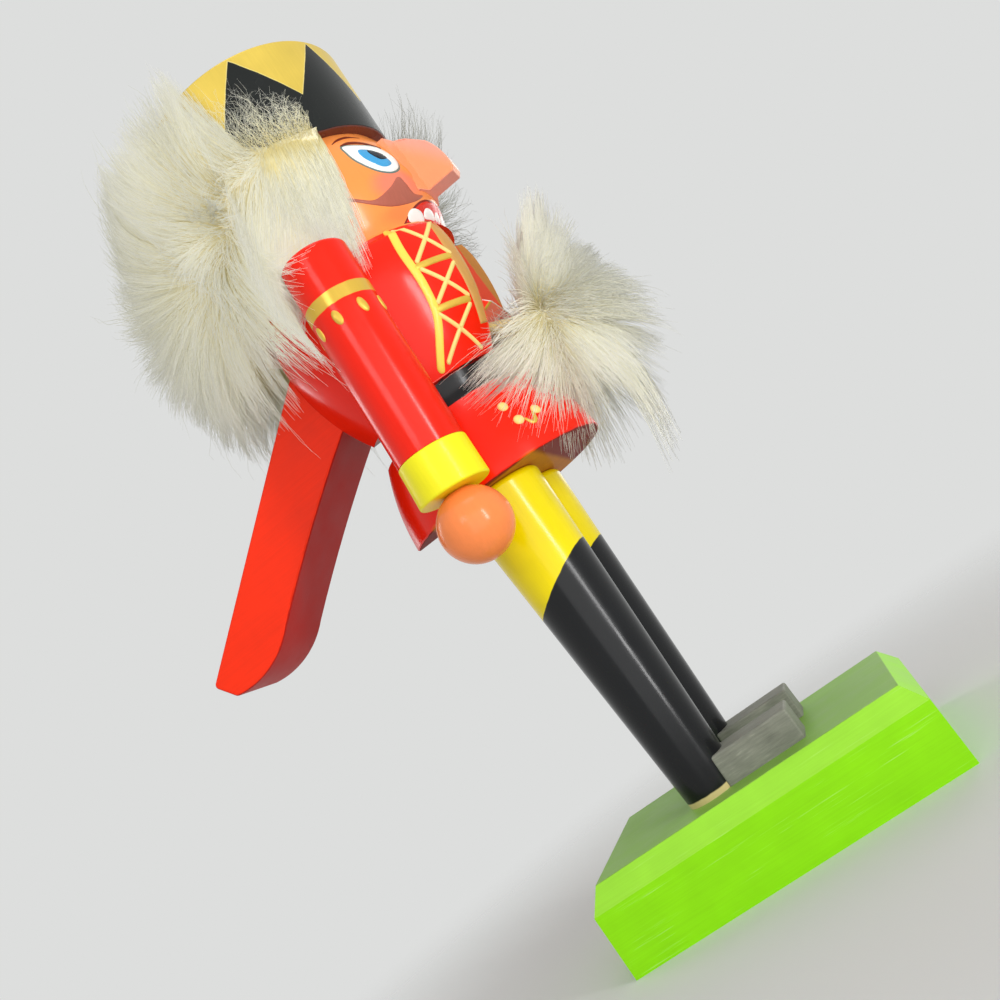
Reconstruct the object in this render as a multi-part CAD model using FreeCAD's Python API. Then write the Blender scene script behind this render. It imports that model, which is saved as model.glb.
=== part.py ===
import FreeCAD, Part
import math
import os

V = FreeCAD.Vector

# Frame: millimetres, +Z up, the face looks along -Y, the figure's left is +X.
# The origin is the centre of the base block's underside.

# Base block
BASE_X = 70.0
BASE_Y = 100.0
BASE_Z = 24.0
BASE_BEVEL_IN = 4.0
BASE_BEVEL_DOWN = 6.0

# The axis that the coat, head and hat are turned on stands a little behind the centre
AXIS_Y = 9.2

# Legs, tapering down to the base
LEG_X = 14.6
LEG_Y = 9.0
LEG_R_BOTTOM = 8.1
LEG_R_TOP = 12.9
LEG_TOP_ROUND = 1.8
HIP_Z = 124.7

# Toe blocks in front of the legs
FOOT_X = 14.4
FOOT_WIDTH = 13.6
FOOT_FRONT_Y = -19.7
FOOT_BACK_Y = 4.0
FOOT_TOP_Z = 32.9
FOOT_ROUND = 0.7

# Coat skirt, belt, chest and head, one turning
RIM_R = 32.5
RIM_ROUND = 0.5
SKIRT_MID = (30.6, 137.8)
SKIRT_TOP_R = 26.7
SKIRT_TOP_Z = 149.4
BELT_EDGE_R = 23.9
BELT_MID_R = 23.2
BELT_TOP_Z = 157.4
CHEST_LOW_R = 26.2
CHEST_MID = (31.8, 171.2)
CHEST_MAX_R = 34.6
CHEST_MAX_Z = 189.0
SHOULDER_MID = (34.5, 194.5)
SHOULDER_R = 33.9
SHOULDER_Z = 198.3
NECK_R = 31.6
NECK_Z = 199.8
HEAD_LOW_R = 30.6
HEAD_LOW_Z = 201.8
HEAD_LOW_MID = (33.57, 209.65)
HEAD_MAX_R = 34.5
HEAD_MAX_Z = 217.5
HEAD_HIGH_MID = (33.42, 227.0)
HEAD_TOP_R = 30.0
HEAD_TOP_Z = 236.5

# Hat, glued on the head
HAT_BRIM_R = 33.3
HAT_TOP_R = 35.0
HAT_TOP_Z = 268.8
HAT_ROUND = 0.7
HAT_BRIM_ROUND = 0.4

# Slot through head and chest, and the groove that takes the closed handle
SLOT_HALF = 13.5
SLOT_FLOOR_Z = BELT_TOP_Z
SLOT_TOP_Z = 199.5
GROOVE_START_Y = 15.0
GROOVE_FOOT_Y = 22.8
CUT_PAST = 30.0
GROOVE_OVERLAP = 1.0

# Lever: the jaw in front, the handle behind, drawn open
LEVER_HALF = 13.0
PIVOT_Y = 13.0
PIVOT_Z = 185.6
LIP_LOW = (-21.5, 169.5)
LIP_HIGH = (-19.5, 171.6)
JAW_SLOPE = math.radians(27.0)
BOSS_R = 13.0
BOSS_ARC_LEAN = 0.4
HANDLE_TOP = (41.0, 190.9)
HANDLE_END_TOP = (117.4, 130.7)
HANDLE_END_LOW = (112.4, 124.2)
HANDLE_END_BEND = (100.0, 124.4)
HANDLE_CURVE_START = (87.0, 131.4)
HANDLE_HOLLOW = (61.2, 151.0)
HANDLE_INNER = (35.2, 168.6)
CHIN_BEND = (-3.0, 163.6)
CHIN_END = (4.0, 158.1)
JAW_FILLET = 4.0
ELBOW_FILLET = 6.0
HANDLE_TOP_FILLET = 12.0
END_FILLET = 1.5
LEVER_EASE = 0.8

# Pivot pin, a running fit in the lever
PIN_R = 2.0
PIN_HALF = 33.0
PIN_CLEARANCE = 0.05

# Arms: each dowel leans back from shoulder to hand
ARM_X = 43.0
ARM_TOP_Y = 7.1
ARM_TOP_Z = 200.0
ARM_LEAN = 4.04
ARM_R = 9.85
ARM_ROUND = 1.3
ARM_LENGTH = 61.9
CUFF_LENGTH = 12.3
CUFF_TOP_R = 10.1
CUFF_LOW_R = 10.4
CUFF_ROUND = 0.7
HAND_R = 10.25
HAND_FLAT = 9.8

# Joining dowels
ANKLE_DOWEL_R = 3.0
ANKLE_DOWEL_Z = (8.0, 40.0)
HIP_DOWEL_R = 4.0
HIP_DOWEL_Z = (110.0, 139.0)
HAT_DOWEL_R = 5.0
HAT_DOWEL_Z = (222.0, 252.0)
SHOULDER_DOWEL_R = 2.5
SHOULDER_DOWEL_X = (25.0, 39.0)
SHOULDER_DOWEL_DROP = 8.0
WRIST_DOWEL_R = 2.5
WRIST_DOWEL_BELOW_TOP = (54.0, 80.0)

# Nose block: side outline (Y, Z), and its plan, which flares where it meets the face
NOSE_TOP = (-22.0, 231.0)
NOSE_BRIDGE_ARC = (-25.8, 230.6)
NOSE_BRIDGE = (-28.9, 228.9)
NOSE_FRONT = (-33.4, 224.2)
NOSE_TIP_ARC = (-35.4, 218.6)
NOSE_TIP = (-35.6, 212.4)
NOSE_TIP_CUT = 1.0
NOSE_BOTTOM_Z = 211.0
NOSE_HALF = 4.0
NOSE_CREASE_Y = -25.6
NOSE_FLARE_HALF = 9.0
NOSE_FLARE_Y = -24.0
NOSE_SEAT_Y = -15.0
NOSE_EASE = 0.5

# Wig: a strip of long fur round the back of the head, combed further forward on the left,
# whose outside is round about an axis set back and aside from the head's
WIG_ANGLE = 64.0
WIG_LEFT_ANGLE = 46.0
WIG_BACK = 8.0
WIG_ASIDE = 1.5
WIG_OUTER_R = 49.5
WIG_GAP = 0.3
WIG_ARM_GAP = 0.6
WIG_LOW_Z = 181.0
WIG_TOP_Z = 269.0
WIG_WIDEST_Z = 225.0
WIG_FOOT_R = 40.0
WIG_NAPE_R = 46.0
WIG_TOP_R = 37.5
WIG_HAT_Z = 262.0
WIG_ARM_ROOM = 2.5
WIG_LEVER_HALF = 14.0
WIG_LEVER_TOP_Z = 195.0
WIG_TOP_CUT_FRONT = (-8.0, 237.0)
WIG_TOP_CUT_BACK = (36.0, 270.0)
WIG_CUT_PAST = 60.0
WIG_BOUND = 90.0

# Beard: fur glued under the chin, standing out in front of the coat
BEARD_ROOT_HALF = 11.0
BEARD_ROOT_FRONT_Y = -16.0
BEARD_ROOT_BACK_Y = -9.0
BEARD_ROOT_DEPTH = 2.6
BEARD_ROOT_LEAN = 0.8
BEARD_NECK_LOW = (-27.0, 150.0)
BEARD_NECK_HIGH = (-28.0, 163.0)
BEARD_CENTRE = (-32.5, 147.0)
BEARD_HALF_X = 29.0
BEARD_HALF_Y = 18.0
BEARD_HALF_Z = 37.0
BEARD_TILT = 18.0
BEARD_COAT_GAP = 2.0

# Ways that the closing beard leaves for nose and face, round the jaw's pivot
NOSE_WAY_R = 62.0
NOSE_WAY_HALF = 11.0
FACE_WAY_R = 52.0
FACE_WAY_DROP = 20.0


def round_mid(radius):
    """How far the middle of a quarter round lies inside each of its two sides."""
    return radius * (1 - math.sqrt(0.5))


def radial(point):
    """Point (radius, height) of a turned outline."""
    return V(point[0], 0, point[1])


def side_on(point):
    """Point (Y, Z) of an outline seen from the side."""
    return V(0, point[0], point[1])


def outline(start, steps, place):
    """Closed wire: a step of one point is a straight run, one of two points an arc."""
    edges = []
    here = start
    for step in steps + [(start,)]:
        end = step[-1]
        if len(step) == 2:
            edges.append(Part.Arc(place(here), place(step[0]), place(end)).toShape())
        elif here != end:
            edges.append(Part.LineSegment(place(here), place(end)).toShape())
        here = end
    return Part.Wire(edges)


def turned(start, steps):
    """Solid turned on the Z axis from a (radius, height) outline."""
    face = Part.Face(outline(start, steps, radial))
    return face.revolve(V(0, 0, 0), V(0, 0, 1), 360)


def board(start, steps, half):
    """Solid sawn from a (Y, Z) outline, half its thickness each side of X = 0."""
    face = Part.Face(outline(start, steps, side_on))
    solid = face.extrude(V(2 * half, 0, 0))
    solid.translate(V(-half, 0, 0))
    return solid


def block(low, high):
    """Box between two corners."""
    size = [h - l for l, h in zip(low, high)]
    return Part.makeBox(size[0], size[1], size[2], V(*low))


def upright_dowel(radius, span, x, y):
    """Dowel along Z between two heights."""
    return Part.makeCylinder(radius, span[1] - span[0], V(x, y, span[0]))


def cross_rod(radius, low_x, high_x, y, z):
    """Rod along X."""
    return Part.makeCylinder(radius, high_x - low_x, V(low_x, y, z), V(1, 0, 0))


def edges_through(solid, places, tolerance=0.05):
    """Edges along X that pass through the given (Y, Z) places."""
    found = []
    for edge in solid.Edges:
        ends = [vertex.Point for vertex in edge.Vertexes]
        if len(ends) != 2 or abs(ends[0].x - ends[1].x) < 1.0:
            continue
        for y, z in places:
            if all(math.hypot(p.y - y, p.z - z) < tolerance for p in ends):
                found.append(edge)
    return found


def make_base():
    """Sawn block with a bevel all round its top."""
    wires = []
    for inset, z in ((0.0, BASE_Z - BASE_BEVEL_DOWN), (BASE_BEVEL_IN, BASE_Z)):
        x = BASE_X / 2 - inset
        y = BASE_Y / 2 - inset
        corners = [V(-x, -y, z), V(x, -y, z), V(x, y, z), V(-x, y, z), V(-x, -y, z)]
        wires.append(Part.makePolygon(corners))
    top = Part.makeLoft(wires, True, True)
    bottom = block((-BASE_X / 2, -BASE_Y / 2, 0), (BASE_X / 2, BASE_Y / 2, BASE_Z - BASE_BEVEL_DOWN))
    return bottom.fuse(top).removeSplitter()


def make_leg(x):
    """Turned leg, a straight taper with its top edge rounded."""
    mid = round_mid(LEG_TOP_ROUND)
    leg = turned((0, BASE_Z), [
        ((LEG_R_BOTTOM, BASE_Z),),
        ((LEG_R_TOP, HIP_Z - LEG_TOP_ROUND),),
        ((LEG_R_TOP - mid, HIP_Z - mid), (LEG_R_TOP - LEG_TOP_ROUND, HIP_Z)),
        ((0, HIP_Z),),
    ])
    leg.translate(V(x, LEG_Y, 0))
    return leg


def make_foot(x, leg):
    """Toe block, coved at the back where it meets the leg."""
    foot = block((x - FOOT_WIDTH / 2, FOOT_FRONT_Y, BASE_Z), (x + FOOT_WIDTH / 2, FOOT_BACK_Y, FOOT_TOP_Z))
    shown = [e for e in foot.Edges if max(v.Z for v in e.Vertexes) > BASE_Z + FOOT_ROUND]
    return foot.makeFillet(FOOT_ROUND, shown).cut(leg)


def make_turning():
    """Skirt, belt, chest and head in one turning, before its slot is sawn."""
    turning = turned((0, HIP_Z), [
        ((RIM_R - RIM_ROUND, HIP_Z),),
        ((RIM_R, HIP_Z + RIM_ROUND),),
        (SKIRT_MID, (SKIRT_TOP_R, SKIRT_TOP_Z)),
        ((BELT_EDGE_R, SKIRT_TOP_Z),),
        ((BELT_MID_R, (SKIRT_TOP_Z + BELT_TOP_Z) / 2), (BELT_EDGE_R, BELT_TOP_Z)),
        ((CHEST_LOW_R, BELT_TOP_Z),),
        (CHEST_MID, (CHEST_MAX_R, CHEST_MAX_Z)),
        (SHOULDER_MID, (SHOULDER_R, SHOULDER_Z)),
        ((NECK_R, NECK_Z),),
        ((HEAD_LOW_R, HEAD_LOW_Z),),
        (HEAD_LOW_MID, (HEAD_MAX_R, HEAD_MAX_Z)),
        (HEAD_HIGH_MID, (HEAD_TOP_R, HEAD_TOP_Z)),
        ((0, HEAD_TOP_Z),),
    ])
    turning.translate(V(0, AXIS_Y, 0))
    return turning


def make_slot():
    """What is sawn out: the slot from front to back and the groove down the back."""
    far_front = AXIS_Y - CHEST_MAX_R - CUT_PAST
    far_back = AXIS_Y + CHEST_MAX_R + CUT_PAST
    slot = block((-SLOT_HALF, far_front, SLOT_FLOOR_Z), (SLOT_HALF, far_back, SLOT_TOP_Z))
    top_z = SLOT_FLOOR_Z + GROOVE_OVERLAP
    low_z = HIP_Z - GROOVE_OVERLAP
    groove = board((GROOVE_START_Y, top_z), [
        ((GROOVE_START_Y, SLOT_FLOOR_Z),),
        ((GROOVE_FOOT_Y, low_z),),
        ((far_back, low_z),),
        ((far_back, top_z),),
    ], SLOT_HALF)
    return slot.fuse(groove)


def make_lever():
    """Jaw and handle sawn from one board, with the bore for the pin."""
    along = (math.cos(JAW_SLOPE), math.sin(JAW_SLOPE))
    to_pivot = (PIVOT_Y - LIP_HIGH[0], PIVOT_Z - LIP_HIGH[1])
    nearest = to_pivot[0] * along[0] + to_pivot[1] * along[1]
    aside = to_pivot[1] * along[0] - to_pivot[0] * along[1]
    reach = nearest - math.sqrt(BOSS_R ** 2 - aside ** 2)
    jaw_back = (LIP_HIGH[0] + reach * along[0], LIP_HIGH[1] + reach * along[1])
    rise = math.atan2(HANDLE_TOP[1] - PIVOT_Z, HANDLE_TOP[0] - PIVOT_Y)
    spread = math.acos(BOSS_R / math.hypot(HANDLE_TOP[0] - PIVOT_Y, HANDLE_TOP[1] - PIVOT_Z))
    boss_end = (PIVOT_Y + BOSS_R * math.cos(rise + spread), PIVOT_Z + BOSS_R * math.sin(rise + spread))
    boss_top = (PIVOT_Y - BOSS_R * math.sin(BOSS_ARC_LEAN), PIVOT_Z + BOSS_R * math.cos(BOSS_ARC_LEAN))
    lever = board(LIP_LOW, [
        (LIP_HIGH,),
        (jaw_back,),
        (boss_top, boss_end),
        (HANDLE_TOP,),
        (HANDLE_END_TOP,),
        (HANDLE_END_LOW,),
        (HANDLE_END_BEND, HANDLE_CURVE_START),
        (HANDLE_HOLLOW, HANDLE_INNER),
        (CHIN_END,),
        (CHIN_BEND,),
    ], LEVER_HALF)
    for radius, place in (
        (JAW_FILLET, jaw_back),
        (ELBOW_FILLET, HANDLE_INNER),
        (HANDLE_TOP_FILLET, HANDLE_TOP),
        (END_FILLET, HANDLE_END_TOP),
        (END_FILLET, HANDLE_END_LOW),
    ):
        lever = lever.makeFillet(radius, edges_through(lever, [place]))
    faces_aside = [f for f in lever.Faces if abs(abs(f.CenterOfMass.x) - LEVER_HALF) < 0.01]
    lever = lever.makeFillet(LEVER_EASE, [edge for face in faces_aside for edge in face.Edges])
    bore = cross_rod(PIN_R + PIN_CLEARANCE, -SLOT_HALF, SLOT_HALF, PIVOT_Y, PIVOT_Z)
    return lever.cut(bore)


def arm_placement(side):
    """Places a piece turned on Z, its top at 0, along an arm's leaning axis."""
    return FreeCAD.Placement(V(side * ARM_X, ARM_TOP_Y, ARM_TOP_Z), FreeCAD.Rotation(V(1, 0, 0), ARM_LEAN))


def make_arm_pieces():
    """Arm, cuff, hand and wrist dowel, standing on the Z axis below their top at 0."""
    cuff_z = -ARM_LENGTH
    hand_z = cuff_z - CUFF_LENGTH
    arm_mid = round_mid(ARM_ROUND)
    cuff_mid = round_mid(CUFF_ROUND)
    arm = turned((0, 0), [
        ((ARM_R - ARM_ROUND, 0),),
        ((ARM_R - arm_mid, -arm_mid), (ARM_R, -ARM_ROUND)),
        ((ARM_R, cuff_z),),
        ((0, cuff_z),),
    ])
    cuff = turned((0, cuff_z), [
        ((CUFF_TOP_R - CUFF_ROUND, cuff_z),),
        ((CUFF_TOP_R - cuff_mid, cuff_z - cuff_mid), (CUFF_TOP_R, cuff_z - CUFF_ROUND)),
        ((CUFF_LOW_R, hand_z + CUFF_ROUND),),
        ((CUFF_LOW_R - cuff_mid, hand_z + cuff_mid), (CUFF_LOW_R - CUFF_ROUND, hand_z)),
        ((0, hand_z),),
    ])
    ball_z = hand_z - HAND_FLAT
    hand = Part.makeSphere(HAND_R, V(0, 0, ball_z))
    hand = hand.cut(block((-HAND_R, -HAND_R, hand_z), (HAND_R, HAND_R, hand_z + HAND_R)))
    top, low = WRIST_DOWEL_BELOW_TOP
    dowel = upright_dowel(WRIST_DOWEL_R, (-low, -top), 0, 0)
    return {"arm": arm.cut(dowel), "cuff": cuff.cut(dowel), "hand": hand.cut(dowel), "wrist_dowel": dowel}


def make_nose(turning):
    """Quarter-round block whose back is hollowed to sit on the face."""
    profile = board((NOSE_SEAT_Y, NOSE_TOP[1]), [
        (NOSE_TOP,),
        (NOSE_BRIDGE_ARC, NOSE_BRIDGE),
        (NOSE_FRONT,),
        (NOSE_TIP_ARC, NOSE_TIP),
        ((NOSE_TIP[0] + NOSE_TIP_CUT, NOSE_BOTTOM_Z),),
        ((NOSE_SEAT_Y, NOSE_BOTTOM_Z),),
    ], NOSE_FLARE_HALF)
    seat_half = NOSE_FLARE_HALF
    plan = [
        V(-seat_half, NOSE_SEAT_Y, NOSE_BOTTOM_Z),
        V(-seat_half, NOSE_FLARE_Y, NOSE_BOTTOM_Z),
        V(-NOSE_HALF, NOSE_CREASE_Y, NOSE_BOTTOM_Z),
        V(-NOSE_HALF, NOSE_TIP[0] - NOSE_TIP_CUT, NOSE_BOTTOM_Z),
        V(NOSE_HALF, NOSE_TIP[0] - NOSE_TIP_CUT, NOSE_BOTTOM_Z),
        V(NOSE_HALF, NOSE_CREASE_Y, NOSE_BOTTOM_Z),
        V(seat_half, NOSE_FLARE_Y, NOSE_BOTTOM_Z),
        V(seat_half, NOSE_SEAT_Y, NOSE_BOTTOM_Z),
    ]
    face = Part.Face(Part.makePolygon(plan + [plan[0]]))
    nose = profile.common(face.extrude(V(0, 0, NOSE_TOP[1] - NOSE_BOTTOM_Z))).removeSplitter()
    proud = [e for e in nose.Edges if min(v.Y for v in e.Vertexes) < NOSE_CREASE_Y - NOSE_EASE]
    return nose.makeFillet(NOSE_EASE, proud).cut(turning)


def make_wig():
    """Plain envelope of the hair, open at the face and clear of arms and lever."""
    brim_z = HEAD_TOP_Z - WIG_GAP
    start_z = ARM_TOP_Z + WIG_ARM_GAP
    upper = turned((0, start_z), [
        ((WIG_NAPE_R, start_z),),
        ((WIG_OUTER_R, WIG_WIDEST_Z), (WIG_TOP_R, WIG_TOP_Z)),
        ((0, WIG_HAT_Z),),
    ])
    lower = turned((0, WIG_LOW_Z), [
        ((WIG_FOOT_R, WIG_LOW_Z),),
        ((WIG_NAPE_R, start_z),),
        ((0, start_z),),
    ])
    for solid in (upper, lower):
        solid.translate(V(WIG_ASIDE, AXIS_Y + WIG_BACK, 0))
    head_way = turned((0, 0), [
        ((CHEST_MAX_R + WIG_GAP, 0),),
        ((CHEST_MAX_R + WIG_GAP, start_z),),
        ((HEAD_MAX_R + WIG_GAP, start_z),),
        ((HEAD_MAX_R + WIG_GAP, brim_z),),
        ((HAT_TOP_R + WIG_GAP, brim_z),),
        ((HAT_TOP_R + WIG_GAP, WIG_TOP_Z),),
        ((0, WIG_TOP_Z),),
    ])
    head_way.translate(V(0, AXIS_Y, 0))
    right_x = -WIG_BOUND * math.sin(math.radians(WIG_ANGLE))
    left_x = WIG_BOUND * math.sin(math.radians(WIG_LEFT_ANGLE))
    face_plan = [
        V(0, AXIS_Y, 0),
        V(right_x, AXIS_Y - WIG_BOUND * math.cos(math.radians(WIG_ANGLE)), 0),
        V(right_x, -2 * WIG_BOUND, 0),
        V(left_x, -2 * WIG_BOUND, 0),
        V(left_x, AXIS_Y - WIG_BOUND * math.cos(math.radians(WIG_LEFT_ANGLE)), 0),
    ]
    face_way = Part.Face(Part.makePolygon(face_plan + [face_plan[0]])).extrude(V(0, 0, WIG_TOP_Z))
    behind_arms = ARM_TOP_Y + ARM_R + WIG_ARM_ROOM
    back = block((-WIG_BOUND, behind_arms, 0), (WIG_BOUND, WIG_BOUND, WIG_TOP_Z))
    lever_way = block((-WIG_LEVER_HALF, 0, 0), (WIG_LEVER_HALF, WIG_BOUND, WIG_LEVER_TOP_Z))
    slope = (WIG_TOP_CUT_BACK[1] - WIG_TOP_CUT_FRONT[1]) / (WIG_TOP_CUT_BACK[0] - WIG_TOP_CUT_FRONT[0])
    cut_y = WIG_TOP_CUT_FRONT[0] - WIG_CUT_PAST
    cut_top = WIG_TOP_Z + WIG_CUT_PAST
    hat_clear = board((cut_y, WIG_TOP_CUT_FRONT[1] - WIG_CUT_PAST * slope), [
        (WIG_TOP_CUT_BACK,),
        ((WIG_TOP_CUT_BACK[0], cut_top),),
        ((cut_y, cut_top),),
    ], WIG_BOUND / 2)
    hat_clear.translate(V(-WIG_BOUND / 2, 0, 0))
    wig = upper.fuse(lower.common(back).cut(lever_way))
    return wig.cut(head_way).cut(face_way).cut(hat_clear).removeSplitter()


def make_beard():
    """Plain envelope of the beard, rooted on the chin."""
    slope = (CHIN_BEND[1] - LIP_LOW[1]) / (CHIN_BEND[0] - LIP_LOW[0])
    front_z = LIP_LOW[1] + slope * (BEARD_ROOT_FRONT_Y - LIP_LOW[0])
    back_z = LIP_LOW[1] + slope * (BEARD_ROOT_BACK_Y - LIP_LOW[0])
    neck = board((BEARD_ROOT_FRONT_Y, front_z), [
        ((BEARD_ROOT_BACK_Y, back_z),),
        ((BEARD_ROOT_BACK_Y - BEARD_ROOT_LEAN, back_z - BEARD_ROOT_DEPTH),),
        ((BEARD_ROOT_FRONT_Y, front_z - BEARD_ROOT_DEPTH),),
        (BEARD_NECK_LOW,),
        (BEARD_CENTRE,),
        (BEARD_NECK_HIGH,),
    ], BEARD_ROOT_HALF)
    stretch = FreeCAD.Matrix()
    stretch.scale(BEARD_HALF_X, BEARD_HALF_Y, BEARD_HALF_Z)
    mass = Part.makeSphere(1.0).transformGeometry(stretch)
    mass.rotate(V(0, 0, 0), V(1, 0, 0), BEARD_TILT)
    mass.translate(side_on(BEARD_CENTRE))
    coat_way = turned((0, 0), [
        ((RIM_R + BEARD_COAT_GAP, 0),),
        ((RIM_R + BEARD_COAT_GAP, SKIRT_MID[1]),),
        ((SKIRT_TOP_R + BEARD_COAT_GAP, SKIRT_TOP_Z),),
        ((CHEST_LOW_R + BEARD_COAT_GAP, BELT_TOP_Z),),
        ((CHEST_MAX_R + BEARD_COAT_GAP, CHEST_MAX_Z),),
        ((CHEST_MAX_R + BEARD_COAT_GAP, HAT_TOP_Z),),
        ((0, HAT_TOP_Z),),
    ])
    coat_way.translate(V(0, AXIS_Y, 0))
    nose_way = cross_rod(NOSE_WAY_R, -NOSE_WAY_HALF, NOSE_WAY_HALF, PIVOT_Y, PIVOT_Z)
    face_way = cross_rod(FACE_WAY_R, -BEARD_HALF_X, BEARD_HALF_X, PIVOT_Y, PIVOT_Z).fuse(nose_way)
    below = block((-WIG_BOUND, -WIG_BOUND, -WIG_BOUND), (WIG_BOUND, 0, 0))
    below.rotate(V(0, 0, 0), V(1, 0, 0), FACE_WAY_DROP)
    below.translate(side_on((PIVOT_Y, PIVOT_Z)))
    return mass.cut(coat_way).cut(face_way.cut(below)).fuse(neck).removeSplitter()


def make_nodes():
    """Every piece by name."""
    nodes = {}
    turning = make_turning()
    base = make_base()
    body = turning.cut(make_slot())
    pin = cross_rod(PIN_R, -PIN_HALF, PIN_HALF, PIVOT_Y, PIVOT_Z)
    body = body.cut(pin)
    for name, side in (("right", -1), ("left", 1)):
        leg = make_leg(side * LEG_X)
        ankle = upright_dowel(ANKLE_DOWEL_R, ANKLE_DOWEL_Z, side * LEG_X, LEG_Y)
        hip = upright_dowel(HIP_DOWEL_R, HIP_DOWEL_Z, side * LEG_X, LEG_Y)
        base = base.cut(ankle)
        nodes[name + "_foot"] = make_foot(side * FOOT_X, leg)
        nodes[name + "_leg"] = leg.cut(ankle).cut(hip)
        nodes[name + "_ankle_dowel"] = ankle
        nodes[name + "_hip_dowel"] = hip

        pieces = make_arm_pieces()
        for piece in pieces.values():
            piece.Placement = arm_placement(side).multiply(piece.Placement)
        lean = math.tan(math.radians(ARM_LEAN))
        ends = sorted((side * SHOULDER_DOWEL_X[0], side * SHOULDER_DOWEL_X[1]))
        shoulder = cross_rod(SHOULDER_DOWEL_R, ends[0], ends[1],
                             ARM_TOP_Y + SHOULDER_DOWEL_DROP * lean, ARM_TOP_Z - SHOULDER_DOWEL_DROP)
        body = body.cut(hip).cut(pieces["arm"]).cut(shoulder)
        pieces["arm"] = pieces["arm"].cut(shoulder)
        pieces["shoulder_dowel"] = shoulder
        for piece_name, piece in pieces.items():
            nodes[name + "_" + piece_name] = piece

    hat_dowel = upright_dowel(HAT_DOWEL_R, HAT_DOWEL_Z, 0, AXIS_Y)
    hat_mid = round_mid(HAT_ROUND)
    hat = turned((0, HEAD_TOP_Z), [
        ((HAT_BRIM_R - HAT_BRIM_ROUND, HEAD_TOP_Z),),
        ((HAT_BRIM_R, HEAD_TOP_Z + HAT_BRIM_ROUND),),
        ((HAT_TOP_R, HAT_TOP_Z - HAT_ROUND),),
        ((HAT_TOP_R - hat_mid, HAT_TOP_Z - hat_mid), (HAT_TOP_R - HAT_ROUND, HAT_TOP_Z)),
        ((0, HAT_TOP_Z),),
    ])
    hat.translate(V(0, AXIS_Y, 0))
    nodes["base_block"] = base
    nodes["body"] = body.cut(hat_dowel)
    nodes["hat"] = hat.cut(hat_dowel)
    nodes["hat_dowel"] = hat_dowel
    nodes["nose"] = make_nose(turning)
    nodes["pivot_pin"] = pin
    nodes["lever"] = make_lever()
    nodes["hair_fur"] = make_wig()
    nodes["beard_fur"] = make_beard()
    return nodes


def write_nodes():
    """Writes one STEP file for each piece."""
    os.makedirs("parts", exist_ok=True)
    for name, shape in make_nodes().items():
        print(name, "solids", len(shape.Solids), "valid", shape.isValid(), "volume %.0f" % shape.Volume)
        shape.exportStep("parts/" + name + ".step")


write_nodes()
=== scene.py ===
"""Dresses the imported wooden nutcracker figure: its paints, painted face, lacing, fur, light and camera."""

import logging
import math
from dataclasses import dataclass
from enum import Enum
from typing import Any, Sequence

import bpy
from mathutils import Matrix, Vector, noise
from mathutils.bvhtree import BVHTree
from mathutils.geometry import delaunay_2d_cdt

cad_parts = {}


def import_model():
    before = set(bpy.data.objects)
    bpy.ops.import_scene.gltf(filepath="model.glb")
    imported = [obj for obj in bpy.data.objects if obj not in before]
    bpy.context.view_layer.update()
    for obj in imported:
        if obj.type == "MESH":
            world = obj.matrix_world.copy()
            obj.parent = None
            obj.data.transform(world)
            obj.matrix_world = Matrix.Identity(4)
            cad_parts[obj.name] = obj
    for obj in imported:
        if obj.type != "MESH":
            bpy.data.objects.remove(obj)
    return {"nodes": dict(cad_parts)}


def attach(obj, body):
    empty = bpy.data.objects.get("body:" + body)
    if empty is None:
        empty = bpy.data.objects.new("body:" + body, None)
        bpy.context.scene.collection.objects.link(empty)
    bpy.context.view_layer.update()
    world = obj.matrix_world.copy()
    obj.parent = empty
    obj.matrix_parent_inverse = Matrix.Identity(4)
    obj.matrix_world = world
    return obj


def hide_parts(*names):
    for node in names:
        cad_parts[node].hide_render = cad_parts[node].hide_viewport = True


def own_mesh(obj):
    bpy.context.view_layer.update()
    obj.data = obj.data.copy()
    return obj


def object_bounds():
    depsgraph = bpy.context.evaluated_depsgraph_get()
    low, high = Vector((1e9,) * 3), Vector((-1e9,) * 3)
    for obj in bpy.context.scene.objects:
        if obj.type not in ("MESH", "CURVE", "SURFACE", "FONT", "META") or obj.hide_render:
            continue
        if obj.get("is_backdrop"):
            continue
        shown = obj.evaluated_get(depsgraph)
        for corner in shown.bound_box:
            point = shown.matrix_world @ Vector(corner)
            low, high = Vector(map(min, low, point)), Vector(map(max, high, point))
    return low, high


log = logging.getLogger("nutcracker")

Place = tuple[float, float]
Knots = tuple[Place, ...]
Spot = tuple[float, float, float]
Triangle = tuple[int, ...]
Skin = tuple[list[Vector], list[Triangle]]
Socket = bpy.types.NodeSocket

# The frame is in millimetres here and turned to metres as a mesh is made
MM = 0.001
PER_METRE = 1000.0

# Directions of the frame
ASIDE = (1, 0, 0)
BACK = (0, 1, 0)
UP = (0, 0, 1)

# The coat, head and hat are turned on this upright axis
AXIS_Y = 9.2
BRIM_Z = 236.5
NECK_Z = 201.0

# Each arm's axis leans back from its top
ARM_X = 43.0
ARM_TOP_Y = 7.1
ARM_TOP_Z = 200.0
ARM_LEAN = math.radians(4.04)
ARM_R = 9.85


class Body(Enum):
    """The two bodies of the frame."""

    FIGURE = "figure"
    LEVER = "lever"


class Side(Enum):
    """A side of the figure, worth the sign of its X."""

    RIGHT = -1
    LEFT = 1


class Grain(Enum):
    """The axis that a piece's fibres run along."""

    X = 0
    Y = 1
    Z = 2


def linear(hex_colour: str) -> tuple[float, float, float, float]:
    """Turns an sRGB hex colour such as "#F82400" to linear red, green, blue and alpha."""
    values = []
    for start in (1, 3, 5):
        part = int(hex_colour[start:start + 2], 16) / 255
        values.append(part / 12.92 if part <= 0.04045 else ((part + 0.055) / 1.055) ** 2.4)
    return values[0], values[1], values[2], 1.0


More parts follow.
